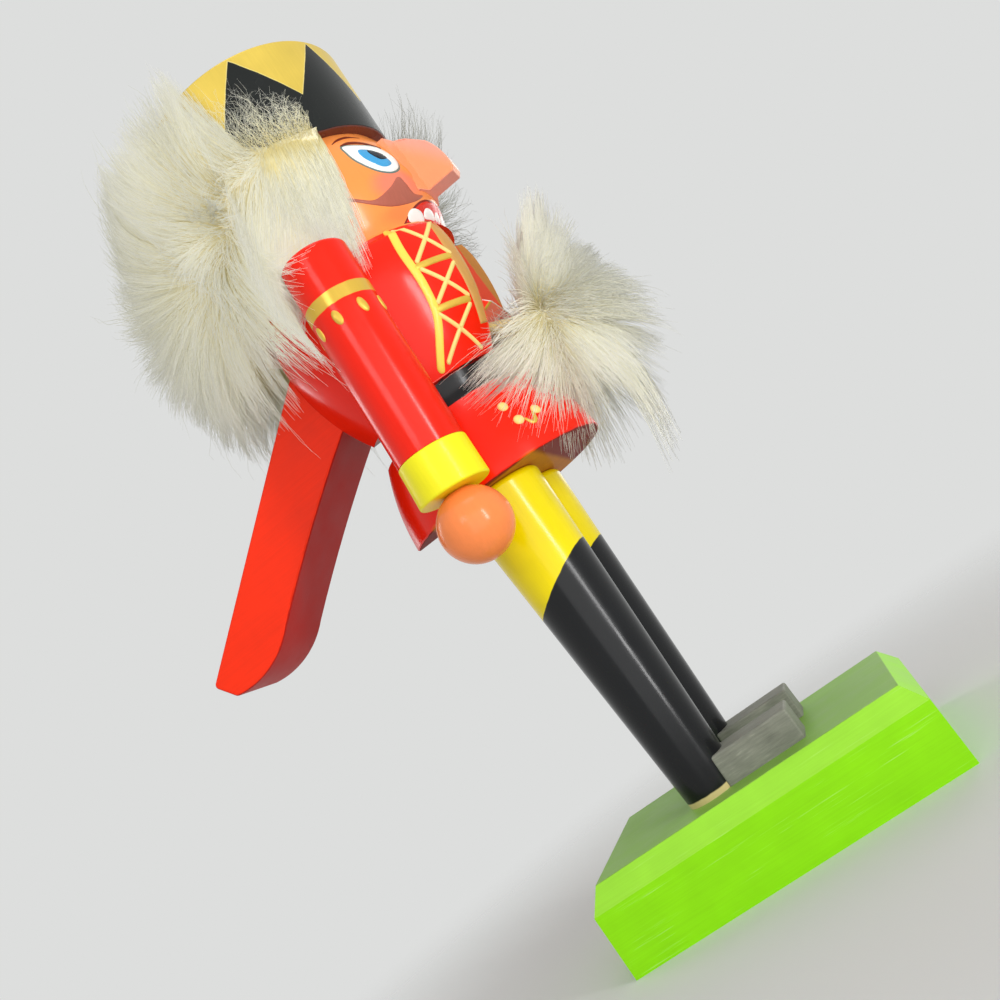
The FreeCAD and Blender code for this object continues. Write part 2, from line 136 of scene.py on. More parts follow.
class Graph:
    """Node tree with one short call for each kind of node used often here."""

    # Inputs and output of a mix node for each kind of value
    MIXES = {"FLOAT": (2, 3, 0), "VECTOR": (4, 5, 1), "RGBA": (6, 7, 2)}

    def __init__(self, tree: bpy.types.NodeTree) -> None:
        """Starts with an empty tree."""
        self.tree = tree
        tree.nodes.clear()

    def node(self, kind: str, feeds: dict[Any, Any] | None = None, **settings: Any) -> bpy.types.Node:
        """Adds a node.

        Args:
            kind: Type name of the node.
            feeds: Inputs by name or number, each a socket to link or a value.
            settings: Properties of the node.

        Returns:
            The new node.
        """
        node = self.tree.nodes.new(kind)
        for name, value in settings.items():
            setattr(node, name, value)
        for name, value in (feeds or {}).items():
            if isinstance(value, Socket):
                self.tree.links.new(value, node.inputs[name])
            else:
                node.inputs[name].default_value = value
        return node

    def get(self, kind: str, feeds: dict[Any, Any] | None = None, out: Any = 0, **settings: Any) -> Socket:
        """Adds a node and gives one of its outputs."""
        return self.node(kind, feeds, **settings).outputs[out]

    def math(self, operation: str, *values: Any) -> Socket:
        """Works out a number from numbers."""
        return self.get("ShaderNodeMath", dict(enumerate(values)), operation=operation)

    def vector(self, operation: str, *values: Any) -> Socket:
        """Works out a vector, or a number for a dot product or length, from vectors."""
        out = "Value" if operation in ("DOT_PRODUCT", "LENGTH") else "Vector"
        return self.get("ShaderNodeVectorMath", dict(enumerate(values)), out, operation=operation)

    def scaled(self, vector: Any, factor: Any) -> Socket:
        """Multiplies a vector by a number."""
        return self.get("ShaderNodeVectorMath", {0: vector, "Scale": factor}, operation="SCALE")

    def ramp(self, value: Any, low: float = 0.0, high: float = 1.0, start: float = 0.0, end: float = 1.0,
             smooth: bool = False) -> Socket:
        """Maps low to high onto start to end, flat past both, in a straight or an eased line."""
        return self.get("ShaderNodeMapRange", {
            "Value": value, "From Min": low, "From Max": high, "To Min": start, "To Max": end,
        }, interpolation_type="SMOOTHSTEP" if smooth else "LINEAR")

    def mix(self, share: Any, low: Any, high: Any, kind: str = "RGBA") -> Socket:
        """Mixes two colours, vectors or numbers."""
        first, second, out = self.MIXES[kind]
        return self.get("ShaderNodeMix", {0: share, first: low, second: high}, out, data_type=kind)

    def noise(self, place: Any, scale: float = 1.0, out: str = "Fac", **feeds: float) -> Socket:
        """Reads a noise texture at a place."""
        return self.get("ShaderNodeTexNoise", {"Vector": place, "Scale": scale, **feeds}, out)

    def product(self, masks: Sequence[Socket]) -> Socket:
        """Multiplies masks, so that only what lies in all of them stays."""
        result = masks[0]
        for mask in masks[1:]:
            result = self.math("MULTIPLY", result, mask)
        return result


def smooth_step(low: float, high: float, value: float) -> float:
    """Eases from 0 at low to 1 at high."""
    part = min(1.0, max(0.0, (value - low) / (high - low)))
    return part * part * (3 - 2 * part)


def between(knots: Sequence[Place], value: float) -> float:
    """Reads a value off a line of (place, amount) knots, flat past its ends."""
    if value <= knots[0][0]:
        return knots[0][1]
    for (low, start), (high, end) in zip(knots, knots[1:]):
        if value <= high:
            return start + (end - start) * (value - low) / (high - low)
    return knots[-1][1]


def outward_at(turn: float) -> Vector:
    """Level direction that is turned from the face, in radians, to the left where it is above 0."""
    return Vector((math.sin(turn), -math.cos(turn), 0))


def make_piece(name: str, skin: tuple[Sequence[Vector], Sequence[Triangle]],
               material: bpy.types.Material | None, smooth: bool = True) -> bpy.types.Object:
    """Makes a mesh object at the origin.

    Args:
        name: Name of the piece.
        skin: Points in millimetres, and faces that point outwards.
        material: Its finish.
        smooth: Whether its faces shade smoothly.

    Returns:
        The new object, linked to the scene.
    """
    mesh = bpy.data.meshes.new(name)
    mesh.from_pydata([point * MM for point in skin[0]], [], [tuple(face) for face in skin[1]])
    mesh.validate()
    if material is not None:
        mesh.materials.append(material)
    mesh.polygons.foreach_set("use_smooth", [smooth] * len(mesh.polygons))
    piece = bpy.data.objects.new(name, mesh)
    bpy.context.scene.collection.objects.link(piece)
    return piece


def settle(piece: bpy.types.Object, body: Body) -> bpy.types.Object:
    """Lets a piece ride on its body and logs it."""
    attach(piece, body.value)
    log.info("%s: %d faces on %s", piece.name, len(piece.data.polygons), body.value)
    return piece


# Finishes


@dataclass(frozen=True)
class Slab:
    """Space between two parallel planes, whose distances run along a direction in millimetres."""

    along: Spot
    low: float | None = None
    high: float | None = None

    def mask(self, graph: Graph, place: Socket, soft: float) -> Socket:
        """Draws a mask that is 1 inside the slab.

        Args:
            graph: The material's nodes.
            place: Place in millimetres.
            soft: Half the width of each edge.

        Returns:
            The mask.
        """
        reach = graph.vector("DOT_PRODUCT", place, self.along)
        masks = []
        if self.low is not None:
            masks.append(graph.ramp(reach, self.low - soft, self.low + soft, smooth=True))
        if self.high is not None:
            masks.append(graph.ramp(reach, self.high - soft, self.high + soft, 1.0, 0.0, smooth=True))
        return graph.product(masks)


@dataclass(frozen=True)
class Zone:
    """Another colour of paint where all its slabs overlap."""

    colour: str
    slabs: tuple[Slab, ...]
    soft: float = 0.12
    metal: float = 0.0
    matt: float = 0.0

    def mask(self, graph: Graph, place: Socket) -> Socket:
        """Draws a mask that is 1 inside the zone."""
        return graph.product([slab.mask(graph, place, self.soft) for slab in self.slabs])


def both_sides(colour: str, low: float, high: float | None, *slabs: Slab, **looks: float) -> tuple[Zone, ...]:
    """Makes a zone and its mirror image, between two distances from the middle plane."""
    return tuple(Zone(colour, (Slab((side.value, 0, 0), low, high), *slabs), **looks) for side in Side)


@dataclass(frozen=True)
class CrownZone:
    """Points of gold that hang from the hat's rim, spaced evenly round its axis."""

    colour: str
    tip_z: float
    notch_z: float
    points: int
    drop: float = 0.0
    metal: float = 0.0
    matt: float = 0.1
    soft: float = 0.12
    top_z: float = 268.5

    def mask(self, graph: Graph, place: Socket) -> Socket:
        """Draws a mask that is 1 on the crown, from the angle round the axis and the height.

        Args:
            graph: The material's nodes.
            place: Place in millimetres.

        Returns:
            The mask.
        """
        apart = graph.node("ShaderNodeSeparateXYZ", {0: place}).outputs
        angle = graph.math("ARCTAN2", apart["X"], graph.math("SUBTRACT", AXIS_Y, apart["Y"]))
        swing = graph.math("PINGPONG", graph.math("MULTIPLY", angle, self.points / math.tau), 0.5)
        edge = graph.math("MULTIPLY_ADD", swing, 2 * (self.notch_z - self.tip_z), self.tip_z - self.drop)
        crown = graph.ramp(graph.math("SUBTRACT", apart["Z"], edge), -self.soft, self.soft, smooth=True)
        return graph.math("MULTIPLY", crown, Slab(UP, high=self.top_z).mask(graph, place, 0.2))


@dataclass(frozen=True)
class Blush:
    """Soft spot of colour, the same on both sides of the figure."""

    colour: str
    centre: Spot
    reach: Spot
    strength: float
    edge: float
    metal: float = 0.0
    matt: float = 0.0

    def mask(self, graph: Graph, place: Socket) -> Socket:
        """Draws a mask that fades outwards from the centre.

        Args:
            graph: The material's nodes.
            place: Place in millimetres.

        Returns:
            The mask.
        """
        folded = graph.vector("MULTIPLY", graph.vector("ABSOLUTE", place), (1, 0, 0))
        upright = graph.vector("MULTIPLY_ADD", place, (0, 1, 1), folded)
        offset = graph.vector("SUBTRACT", upright, self.centre)
        length = graph.vector("LENGTH", graph.vector("DIVIDE", offset, self.reach))
        return graph.ramp(length, 1 - self.edge, 1 + self.edge, self.strength, 0.0, smooth=True)


@dataclass(frozen=True)
class Finish:
    """A material that is drawn by nodes."""

    name: str

    def surface(self, graph: Graph) -> Socket:
        """Draws the nodes and gives the shader."""
        raise NotImplementedError

    def build(self) -> bpy.types.Material:
        """Makes the material."""
        material = bpy.data.materials.new(self.name)
        material.use_nodes = True
        graph = Graph(material.node_tree)
        graph.node("ShaderNodeOutputMaterial", {"Surface": self.surface(graph)})
        return material


@dataclass(frozen=True)
class PaintedWood(Finish):
    """Brushed paint on turned or sawn beech: the fibres lift it a little and show through as streaks."""

    colour: str
    zones: tuple[Any, ...] = ()
    grain: Grain = Grain.Z
    fibre: float = 0.7
    fibre_length: float = 16.0
    streak: float = 0.05
    relief: float = 0.012
    roughness: float = 0.25
    coat: float = 0.1
    coat_roughness: float = 0.1
    gloss: float = 0.24
    wobble: float = 0.18
    bare: str | None = None
    bare_share: float = 0.0

    def surface(self, graph: Graph) -> Socket:
        """Draws the fibres, the zones of paint and the relief.

        Args:
            graph: The material's nodes.

        Returns:
            The shader.
        """
        place = graph.scaled(graph.get("ShaderNodeTexCoord", out="Object"), PER_METRE)
        stretch = [1 / self.fibre] * 3
        stretch[self.grain.value] = 1 / self.fibre_length
        fibres = graph.noise(graph.vector("MULTIPLY", place, tuple(stretch)), Detail=3.0, Roughness=0.65)
        cloud = graph.noise(place, 0.11, Detail=2.0, Roughness=0.5)
        shift = graph.noise(place, 0.35, "Color", Detail=1.0)
        painted = graph.vector("MULTIPLY_ADD", shift, (2 * self.wobble,) * 3, place)
        painted = graph.vector("SUBTRACT", painted, (self.wobble,) * 3)

        colour: Any = linear(self.colour)
        metal: Any = 0.0
        matt: Any = 0.0
        for zone in self.zones:
            mask = zone.mask(graph, painted)
            colour = graph.mix(mask, colour, linear(zone.colour))
            if zone.metal or not isinstance(metal, float):
                metal = graph.mix(mask, metal, zone.metal, "FLOAT")
            if zone.matt or not isinstance(matt, float):
                matt = graph.mix(mask, matt, zone.matt, "FLOAT")
        value = graph.ramp(graph.math("ADD", fibres, cloud), 0.6, 1.4, 1 - self.streak, 1 + self.streak)
        colour = graph.get("ShaderNodeHueSaturation", {"Value": value, "Color": colour})
        if self.bare is not None:
            worn = graph.ramp(fibres, 0.62, 0.74, 0.0, self.bare_share, smooth=True)
            colour = graph.mix(worn, colour, linear(self.bare))

        relief = graph.math("MULTIPLY_ADD", cloud, 0.8, fibres)
        bump = graph.get("ShaderNodeBump", {"Strength": 1.0, "Distance": self.relief * MM, "Height": relief})
        rough = graph.ramp(cloud, 0.3, 0.7, self.roughness - 0.04, self.roughness + 0.05)
        rough = graph.get("ShaderNodeMath", {0: rough, 1: matt}, operation="ADD", use_clamp=True)
        return graph.get("ShaderNodeBsdfPrincipled", {
            "Base Color": colour, "Metallic": metal, "Roughness": rough, "Normal": bump,
            "Specular IOR Level": self.gloss,
            "Coat Weight": self.coat, "Coat Roughness": self.coat_roughness, "Coat Normal": bump})


@dataclass(frozen=True)
class BareBeech(Finish):
    """Planed beech dowel, pale with short dark flecks along its fibres."""

    name: str = "bare beech dowel"
    colour: str = "#D8B184"
    fleck: str = "#9C6E42"

    def surface(self, graph: Graph) -> Socket:
        """Draws streaks along Z and short flecks."""
        here = graph.get("ShaderNodeTexCoord", out="Object")
        flecks = graph.noise(graph.vector("MULTIPLY", here, (1400.0, 1400.0, 160.0)), Detail=2.0)
        colour = graph.mix(graph.ramp(flecks, 0.45, 0.75), linear(self.colour), linear(self.fleck))
        bump = graph.get("ShaderNodeBump", {"Distance": 0.02 * MM, "Height": flecks})
        return graph.get("ShaderNodeBsdfPrincipled", {"Base Color": colour, "Roughness": 0.6, "Normal": bump})


@dataclass(frozen=True)
class DrawnSteel(Finish):
    """Drawn steel rod, grey with fine scratches along its length."""

    name: str = "drawn steel pin"
    colour: str = "#B9BABC"

    def surface(self, graph: Graph) -> Socket:
        """Draws scratches along X."""
        here = graph.get("ShaderNodeTexCoord", out="Object")
        lines = graph.noise(graph.vector("MULTIPLY", here, (120.0, 5000.0, 5000.0)))
        return graph.get("ShaderNodeBsdfPrincipled", {
            "Base Color": linear(self.colour), "Metallic": 1.0,
            "Roughness": graph.ramp(lines, start=0.28, end=0.45)})


@dataclass(frozen=True)
class RabbitFur(Finish):
    """Long rabbit hair: yellowish at its roots, cream along it and white at its tips."""

    root: str = "#F6E6A2"
    middle: str = "#FFFBDE"
    tip: str = "#FFFEF2"
    passing: float = 0.85
    own_shade: float = 0.6
    through: float = 0.15

    def surface(self, graph: Graph) -> Socket:
        """Draws the hair from the strands' own attributes along, tint and facing.

        Args:
            graph: The material's nodes.

        Returns:
            The shader.
        """
        along = graph.get("ShaderNodeAttribute", out="Fac", attribute_name="along")
        tint = graph.get("ShaderNodeAttribute", out="Fac", attribute_name="tint")
        lower = graph.ramp(along, 0.05, 0.5, smooth=True)
        upper = graph.ramp(along, 0.5, 1.0)
        colour = graph.mix(lower, linear(self.root), linear(self.middle))
        colour = graph.mix(upper, colour, linear(self.tip))
        colour = graph.get("ShaderNodeHueSaturation", {
            "Value": graph.ramp(tint, start=0.9, end=1.04), "Color": colour})
        # Light spreads through a coat of hair, so each hair is lit mostly as the coat that it lies in
        facing = graph.get("ShaderNodeAttribute", out="Vector", attribute_name="facing")
        own = graph.get("ShaderNodeNewGeometry", out="Normal")
        normal = graph.vector("NORMALIZE", graph.vector("MULTIPLY_ADD", own, (self.own_shade,) * 3, facing))
        shader = graph.get("ShaderNodeBsdfPrincipled", {
            "Base Color": colour, "Roughness": 0.55, "Specular IOR Level": 0.2, "Normal": normal})
        lit_through = graph.get("ShaderNodeBsdfTranslucent", {"Color": colour})
        mixed = graph.get("ShaderNodeMixShader", {0: self.through, 1: shader, 2: lit_through})
        # Fine hair lets most of the soft light past
        soft_light = graph.get("ShaderNodeLightPath", out="Is Diffuse Ray")
        passing = graph.math("MULTIPLY", soft_light, self.passing)
        gap = graph.get("ShaderNodeBsdfTransparent")
        return graph.get("ShaderNodeMixShader", {0: passing, 1: mixed, 2: gap})


@dataclass(frozen=True)
class UnderFur(Finish):
    """Dense short hair near the skin, cream and streaky, with deep gaps between its tufts."""

    name: str = "dense rabbit underfur"
    colour: str = "#FFF9DF"
    deep: str = "#F6EAB8"

    def surface(self, graph: Graph) -> Socket:
        """Draws tufts about 3 mm apart and hairs about 0.4 mm wide."""
        here = graph.get("ShaderNodeTexCoord", out="Object")
        tufts = graph.noise(here, 330.0, Detail=3.0, Roughness=0.6)
        hairs = graph.noise(here, 1500.0, Detail=2.0, Distortion=1.5)
        height = graph.math("MULTIPLY_ADD", hairs, 0.5, tufts)
        colour = graph.mix(graph.ramp(height, 0.5, 0.95), linear(self.deep), linear(self.colour))
        bump = graph.get("ShaderNodeBump", {"Distance": 0.8 * MM, "Height": height})
        return graph.get("ShaderNodeBsdfPrincipled", {
            "Base Color": colour, "Roughness": 0.8, "Normal": bump, "Specular IOR Level": 0.2,
            "Sheen Weight": 0.3})


# Brush enamel of the small painted marks, thick enough to stand a little proud
CREAM_ENAMEL = PaintedWood("cream enamel line", "#FADF86", streak=0.03, roughness=0.35, relief=0.02)
GOLD_BRONZE = PaintedWood("gold bronze paint", "#E6BE4C", streak=0.07, roughness=0.36, relief=0.02,
                          zones=(Zone("#E6BE4C", (Slab(UP, low=-1.0),), metal=0.3),))
BRIGHT_GOLD = PaintedWood("bright yellow gold enamel", "#F7E05A", streak=0.06, roughness=0.3, relief=0.02)
# Gold band by the slot: a duller bronze, painted darker partly as painted shade
DULL_BRONZE_AND_SHADE = PaintedWood("dull bronze paint", "#CF9A52", streak=0.08, roughness=0.45, relief=0.02)
EYE_WHITE = PaintedWood("white eye enamel", "#FBFBF6", streak=0.01, roughness=0.25)
IRIS_BLUE = PaintedWood("blue iris enamel", "#3FA3DC", streak=0.04, roughness=0.25)
PUPIL_DARK = PaintedWood("dark pupil enamel", "#101D2C", streak=0.03, roughness=0.22)
EYE_LINE = PaintedWood("grey eye outline", "#6D7F78", streak=0.03, roughness=0.35)
BROW_BROWN = PaintedWood("brown brow enamel", "#7A2A10", streak=0.08, roughness=0.35)
MOUSTACHE_BROWN = PaintedWood("russet moustache enamel", "#B2624F", streak=0.1, roughness=0.4, relief=0.03)
MOUTH_RED = PaintedWood("red mouth enamel", "#E0220E", streak=0.05, roughness=0.28)
MOUTH_DARK = PaintedWood("dark mouth outline", "#7C1A10", streak=0.05, roughness=0.32)
TOOTH_WHITE = PaintedWood("white tooth enamel", "#FAF7F0", streak=0.02, roughness=0.25)


# Painted marks


class Ground:
    """Surface of a CAD node that marks are painted on, found by looking straight at it."""

    # Farther from its axis than any surface that carries marks
    OUTSIDE = 80.0

    def __init__(self, node: bpy.types.Object, radius: float) -> None:
        """Keeps the node's faces for looking up.

        Args:
            node: CAD node that carries the marks.
            radius: Typical radius in millimetres, which turns degrees into widths.
        """
        mesh = node.data
        self.faces = BVHTree.FromPolygons([v.co.copy() for v in mesh.vertices],
                                          [tuple(p.vertices) for p in mesh.polygons])
        self.per_degree = math.radians(radius)

    def frame(self, angle: float, height: float) -> tuple[Vector, Vector]:
        """Gives the axis point and outward direction of a place in millimetres."""
        raise NotImplementedError

    def unrolled(self, places: Sequence[Place]) -> list[Vector]:
        """Turns (degrees, millimetres) places to points in millimetres on the unrolled surface."""
        return [Vector((angle * self.per_degree, height)) for angle, height in places]

    def spot(self, flat: Vector, rise: float) -> Vector:
        """Finds a painted point over the surface.

        Args:
            flat: Place on the unrolled surface, in millimetres.
            rise: Height over the surface.

        Returns:
            Point in millimetres.
        """
        centre, outward = self.frame(flat.x / self.per_degree, flat.y)
        start = (centre + outward * self.OUTSIDE) * MM
        hit = self.faces.ray_cast(start, -outward, self.OUTSIDE * MM)[0]
        if hit is None:
            raise ValueError(f"a mark at {flat.x / self.per_degree:.1f}, {flat.y:.1f} misses its piece")
        return hit * PER_METRE + outward * rise


class TurnedGround(Ground):
    """A piece turned on the figure's upright axis; angles run from the face towards one side."""

    def __init__(self, node: bpy.types.Object, radius: float, side: Side) -> None:
        """Keeps which side the angles run to, besides what every ground keeps."""
        super().__init__(node, radius)
        self.side = side

    def frame(self, angle: float, height: float) -> tuple[Vector, Vector]:
        """Gives the axis point at a height, and the level direction at an angle."""
        return Vector((0, AXIS_Y, height)), outward_at(self.side.value * math.radians(angle))


class ArmGround(Ground):
    """A leaning arm; heights are distances below its top."""

    def __init__(self, node: bpy.types.Object, side: Side) -> None:
        """Keeps which arm it is."""
        super().__init__(node, ARM_R)
        self.side = side

    def frame(self, angle: float, height: float) -> tuple[Vector, Vector]:
        """Gives the point down the leaning axis, and the direction square to it at an angle."""
        turn = math.radians(angle)
        down = Vector((0, math.sin(ARM_LEAN), -math.cos(ARM_LEAN)))
        front = Vector((0, -math.cos(ARM_LEAN), -math.sin(ARM_LEAN)))
        centre = Vector((self.side.value * ARM_X, ARM_TOP_Y, ARM_TOP_Z)) + down * height
        aside = Vector((self.side.value, 0, 0))
        return centre, front * math.cos(turn) + aside * math.sin(turn)


def oval(wide: float, tall: float) -> list[Place]:
    """Draws eight places round an oval, from its half width and half height."""
    return [(wide * math.cos(math.radians(turn)), tall * math.sin(math.radians(turn)))
            for turn in range(0, 360, 45)]


def runs(loop: Sequence[Any]) -> list[tuple[Any, Any]]:
    """Pairs each member of a closed loop with the next one."""
    return list(zip(loop, list(loop[1:]) + [loop[0]]))


def inside(point: Vector, outline: Sequence[Vector]) -> bool:
    """Tells whether a flat point lies inside a closed outline."""
    found = False
    for here, there in runs(outline):
        if (here.y > point.y) != (there.y > point.y):
            cross = here.x + (point.y - here.y) * (there.x - here.x) / (there.y - here.y)
            if point.x < cross:
                found = not found
    return found


def edge_distance(point: Vector, outline: Sequence[Vector]) -> float:
    """Measures from a flat point to the nearest run of a closed outline."""
    best = math.inf
    for here, there in runs(outline):
        run = there - here
        share = 0.0 if run.length_squared == 0 else (point - here).dot(run) / run.length_squared
        best = min(best, (point - here - run * min(1.0, max(0.0, share))).length)
    return best


def rounded(points: Sequence[Vector], step: float, closed: bool = True) -> list[Vector]:
    """Draws a smooth line through points, a Catmull-Rom spline.

    Args:
        points: Points that the line passes through.
        step: Longest distance between the new points.
        closed: Whether it closes on itself.

    Returns:
        Points along the line.
    """
    count = len(points)
    result = []
    for index in range(count if closed else count - 1):
        if closed:
            a, b, c, d = (points[(index + k) % count] for k in (-1, 0, 1, 2))
        else:
            a, b, c, d = (points[min(count - 1, max(0, index + k))] for k in (-1, 0, 1, 2))
        parts = max(2, math.ceil((c - b).length / step))
        for part in range(parts):
            t = part / parts
            result.append(0.5 * ((2 * b) + (c - a) * t + (2 * a - 5 * b + 4 * c - d) * t * t
                                 + (3 * b - a - 3 * c + d) * t ** 3))
    if not closed:
        result.append(points[-1])
    return result


def straight(points: Sequence[Vector], step: float) -> list[Vector]:
    """Divides the runs of a closed outline, and keeps its corners."""
    result = []
    for here, there in runs(points):
        parts = max(1, math.ceil((there - here).length / step))
        result += [here.lerp(there, part / parts) for part in range(parts)]
    return result


def ribbon(line: Sequence[Vector], widths: Sequence[float]) -> list[Vector]:
    """Draws the outline of a brush stroke, whose ends are half rounds.

    Args:
        line: Points down its middle.
        widths: Full width at each point.

    Returns:
        Closed outline.
    """
    left, right = [], []
    for index, point in enumerate(line):
        run = (line[min(index + 1, len(line) - 1)] - line[max(index - 1, 0)]).normalized()
        across = Vector((-run.y, run.x)) * widths[index] / 2
        left.append(point + across)
        right.append(point - across)
    caps: list[list[Vector]] = []
    for end, inner, width in ((line[-1], line[-2], widths[-1]), (line[0], line[1], widths[0])):
        run = (end - inner).normalized()
        across = Vector((-run.y, run.x))
        caps.append([end + (run * math.cos(turn) + across * math.sin(turn)) * (width / 2)
                     for turn in map(math.radians, (60, 30, 0, -30, -60))])
    return left + caps[0] + right[::-1] + caps[1]


class Painter:
    """Lays paint on a ground as thin closed films, one mesh for each paint."""

    # Spacing of a film's inner points, and how far its edge ends over the ground and its underside below
    SPACING = 1.2
    EDGE_RISE = 0.02
    SUNK = 0.15

    def __init__(self, prefix: str, body: Body, slot: str) -> None:
        """Names the films and what carries them."""
        self.prefix = prefix
        self.body = body
        self.slot = slot
        self.films: dict[PaintedWood, Skin] = {}

    def filling(self, outline: Sequence[Vector], rim: float) -> list[Vector]:
        """Spreads points inside an outline, along its rim and in staggered rows.

        Args:
            outline: Closed outline that turns left.
            rim: Width of the rim.

        Returns:
            Points in millimetres.
        """
        result = []
        for index, point in enumerate(outline):
            run = (outline[(index + 1) % len(outline)] - outline[index - 1]).normalized()
            inner = point + Vector((-run.y, run.x)) * rim
            if inside(inner, outline) and edge_distance(inner, outline) > 0.8 * rim:
                result.append(inner)
        low_x, high_x = min(p.x for p in outline), max(p.x for p in outline)
        low_y, high_y = min(p.y for p in outline), max(p.y for p in outline)
        step = self.SPACING
        for row in range(int((high_y - low_y) / step) + 1):
            for column in range(int((high_x - low_x) / step) + 1):
                point = Vector((low_x + (column + 0.5 * (row % 2)) * step, low_y + (row + 0.5) * step))
                if inside(point, outline) and edge_distance(point, outline) > 2 * rim:
                    result.append(point)
        return result

    def film(self, ground: Ground, paint: PaintedWood, outline: Sequence[Vector], rise: float,
             rim: float) -> None:
        """Fills an outline with a film whose rim is rounded down to the surface.

        Args:
            ground: Surface that it lies on.
            paint: Its paint.
            outline: Closed outline on the unrolled surface, in millimetres.
            rise: Height of the film.
            rim: Width of its rounded rim.
        """
        if sum(here.x * there.y - there.x * here.y for here, there in runs(outline)) < 0:
            outline = list(reversed(outline))
        count = len(outline)
        flat = list(outline) + self.filling(outline, rim)
        spots, _, faces, origins, _, _ = delaunay_2d_cdt(flat, runs(range(count)), [], 1, 1e-4)
        on_edge = [any(origin < count for origin in origins[index]) for index in range(len(spots))]
        top = [ground.spot(spot, self.EDGE_RISE if edge else rise) for spot, edge in zip(spots, on_edge)]
        low = [ground.spot(spot, -self.SUNK) for spot in spots]
        first = faces[0]
        facing = (top[first[1]] - top[first[0]]).cross(top[first[2]] - top[first[0]])
        if facing.dot(top[first[0]] - low[first[0]]) < 0:
            faces = [tuple(reversed(face)) for face in faces]
        size = len(spots)
        edges = dict.fromkeys(run for face in faces for run in runs(face))
        points, films = self.films.setdefault(paint, ([], []))
        base = len(points)
        points += top + low
        films += [tuple(base + corner for corner in face) for face in faces]
        films += [tuple(base + size + corner for corner in reversed(face)) for face in faces]
        for here, there in edges:
            if (there, here) not in edges:
                films.append((base + there, base + here, base + size + here, base + size + there))

    def blob(self, ground: Ground, paint: PaintedWood, outline: Sequence[Place], rise: float,
             rim: float = 0.3) -> None:
        """Paints a shape whose outline runs smoothly through (degrees, millimetres) places."""
        self.film(ground, paint, rounded(ground.unrolled(outline), 0.6), rise, rim)

    def panel(self, ground: Ground, paint: PaintedWood, outline: Sequence[Place], rise: float,
              rim: float = 0.3) -> None:
        """Paints a shape with straight sides and sharp corners."""
        self.film(ground, paint, straight(ground.unrolled(outline), 0.7), rise, rim)

    def stroke(self, ground: Ground, paint: PaintedWood, line: Sequence[Place], widths: Sequence[float],
               rise: float) -> None:
        """Paints a brush stroke down a line of (degrees, millimetres) places.

        Args:
            ground: Surface that it lies on.
            paint: Its paint.
            line: Places down its middle.
            widths: One width, or one for each place.
            rise: Height of the film.
        """
        flat = ground.unrolled(line)
        if len(widths) == 1:
            widths = list(widths) * len(line)
        middle = rounded(flat, 0.8, closed=False) if len(flat) > 2 else straight(flat, 0.8)[
            :math.ceil((flat[1] - flat[0]).length / 0.8) + 1]
        reach = [0.0]
        for here, there in zip(flat, flat[1:]):
            reach.append(reach[-1] + (there - here).length)
        length = 0.0
        spread = []
        for index, point in enumerate(middle):
            length += (point - middle[index - 1]).length if index else 0.0
            spread.append(between(list(zip(reach, widths)), length))
        self.film(ground, paint, ribbon(middle, spread), rise, rim=min(0.3, min(spread) * 0.35))

    def finish(self) -> None:
        """Makes the meshes and lets them ride."""
        for paint, (points, faces) in self.films.items():
            name = f"{self.prefix}_{paint.name.replace(' ', '_')}"
            settle(make_piece(name, (points, faces), paint.build()), self.body)


# Wooden pieces


class Dresser:
    """Finishes some of the CAD nodes and lays painted marks on them."""

    def __init__(self, nodes: dict[str, bpy.types.Object]) -> None:
        """Keeps the CAD nodes by name."""
        self.nodes = nodes

    def finish(self, finish: Finish, *names: str) -> None:
        """Gives CAD nodes a finish in place of the plain one."""
        material = finish.build()
        for name in names:
            for slot in self.nodes[name].material_slots:
                slot.link = "OBJECT"
                slot.material = material
            log.info("%s: %s", name, material.name)

    def dress(self) -> None:
        """Finishes the nodes."""
        raise NotImplementedError


class Stand(Dresser):
    """Sawn block with its two toe blocks."""

    TOP_Z = 24.0
    BEVEL_Z = 18.0

    def dress(self) -> None:
        """Paints the block and the toe blocks."""
        # Satin lime paint, with fine saw lines showing on the end-cut top and bevels
        self.finish(PaintedWood(
            "satin lime paint on sawn beech", "#92E600", grain=Grain.Y, fibre=0.45, fibre_length=26.0,
            streak=0.07, relief=0.02, roughness=0.45, coat=0.0, wobble=0.1,
            zones=(
                # Painted light: the bevels are painted a lighter lime
                Zone("#A2E83C", (Slab(UP, low=self.BEVEL_Z),), soft=0.15),
                # Painted shade: the end-cut top is painted a darker, duller lime
                Zone("#86B845", (Slab(UP, low=self.TOP_Z - 0.15),), soft=0.1),
            ),
            bare="#C9E79A", bare_share=0.35,
        ), "base_block")
        # Thin grey stain that leaves the open grain of the sawn block dark
        self.finish(PaintedWood(
            "grey stain on sawn beech", "#85867A", grain=Grain.Y, fibre=0.55, fibre_length=5.0, streak=0.3,
            relief=0.07, roughness=0.62, coat=0.0, wobble=0.1, bare="#ACAC9C", bare_share=0.4,
        ), "right_foot", "left_foot")


class Legs(Dresser):
    """Turned legs: black boots under yellow trousers."""

    BOOT_LEAN = 0.556
    BOOT_TOP = 98.2
    BARE_Z = 25.6

    def dress(self) -> None:
        """Paints both legs, whose boots end on one sloping line."""
        # Gloss enamel: the boots mirror the light in long streaks, the trousers are a shade softer
        self.finish(PaintedWood(
            "gloss boot and trouser enamel", "#F5DF00", roughness=0.2,
            zones=(
                Zone("#17181A", (Slab((0, self.BOOT_LEAN, 1), high=self.BOOT_TOP),), soft=0.15),
                Zone("#D9C58C", (Slab(UP, high=self.BARE_Z),), soft=0.2),
            ),
        ), "right_leg", "left_leg")


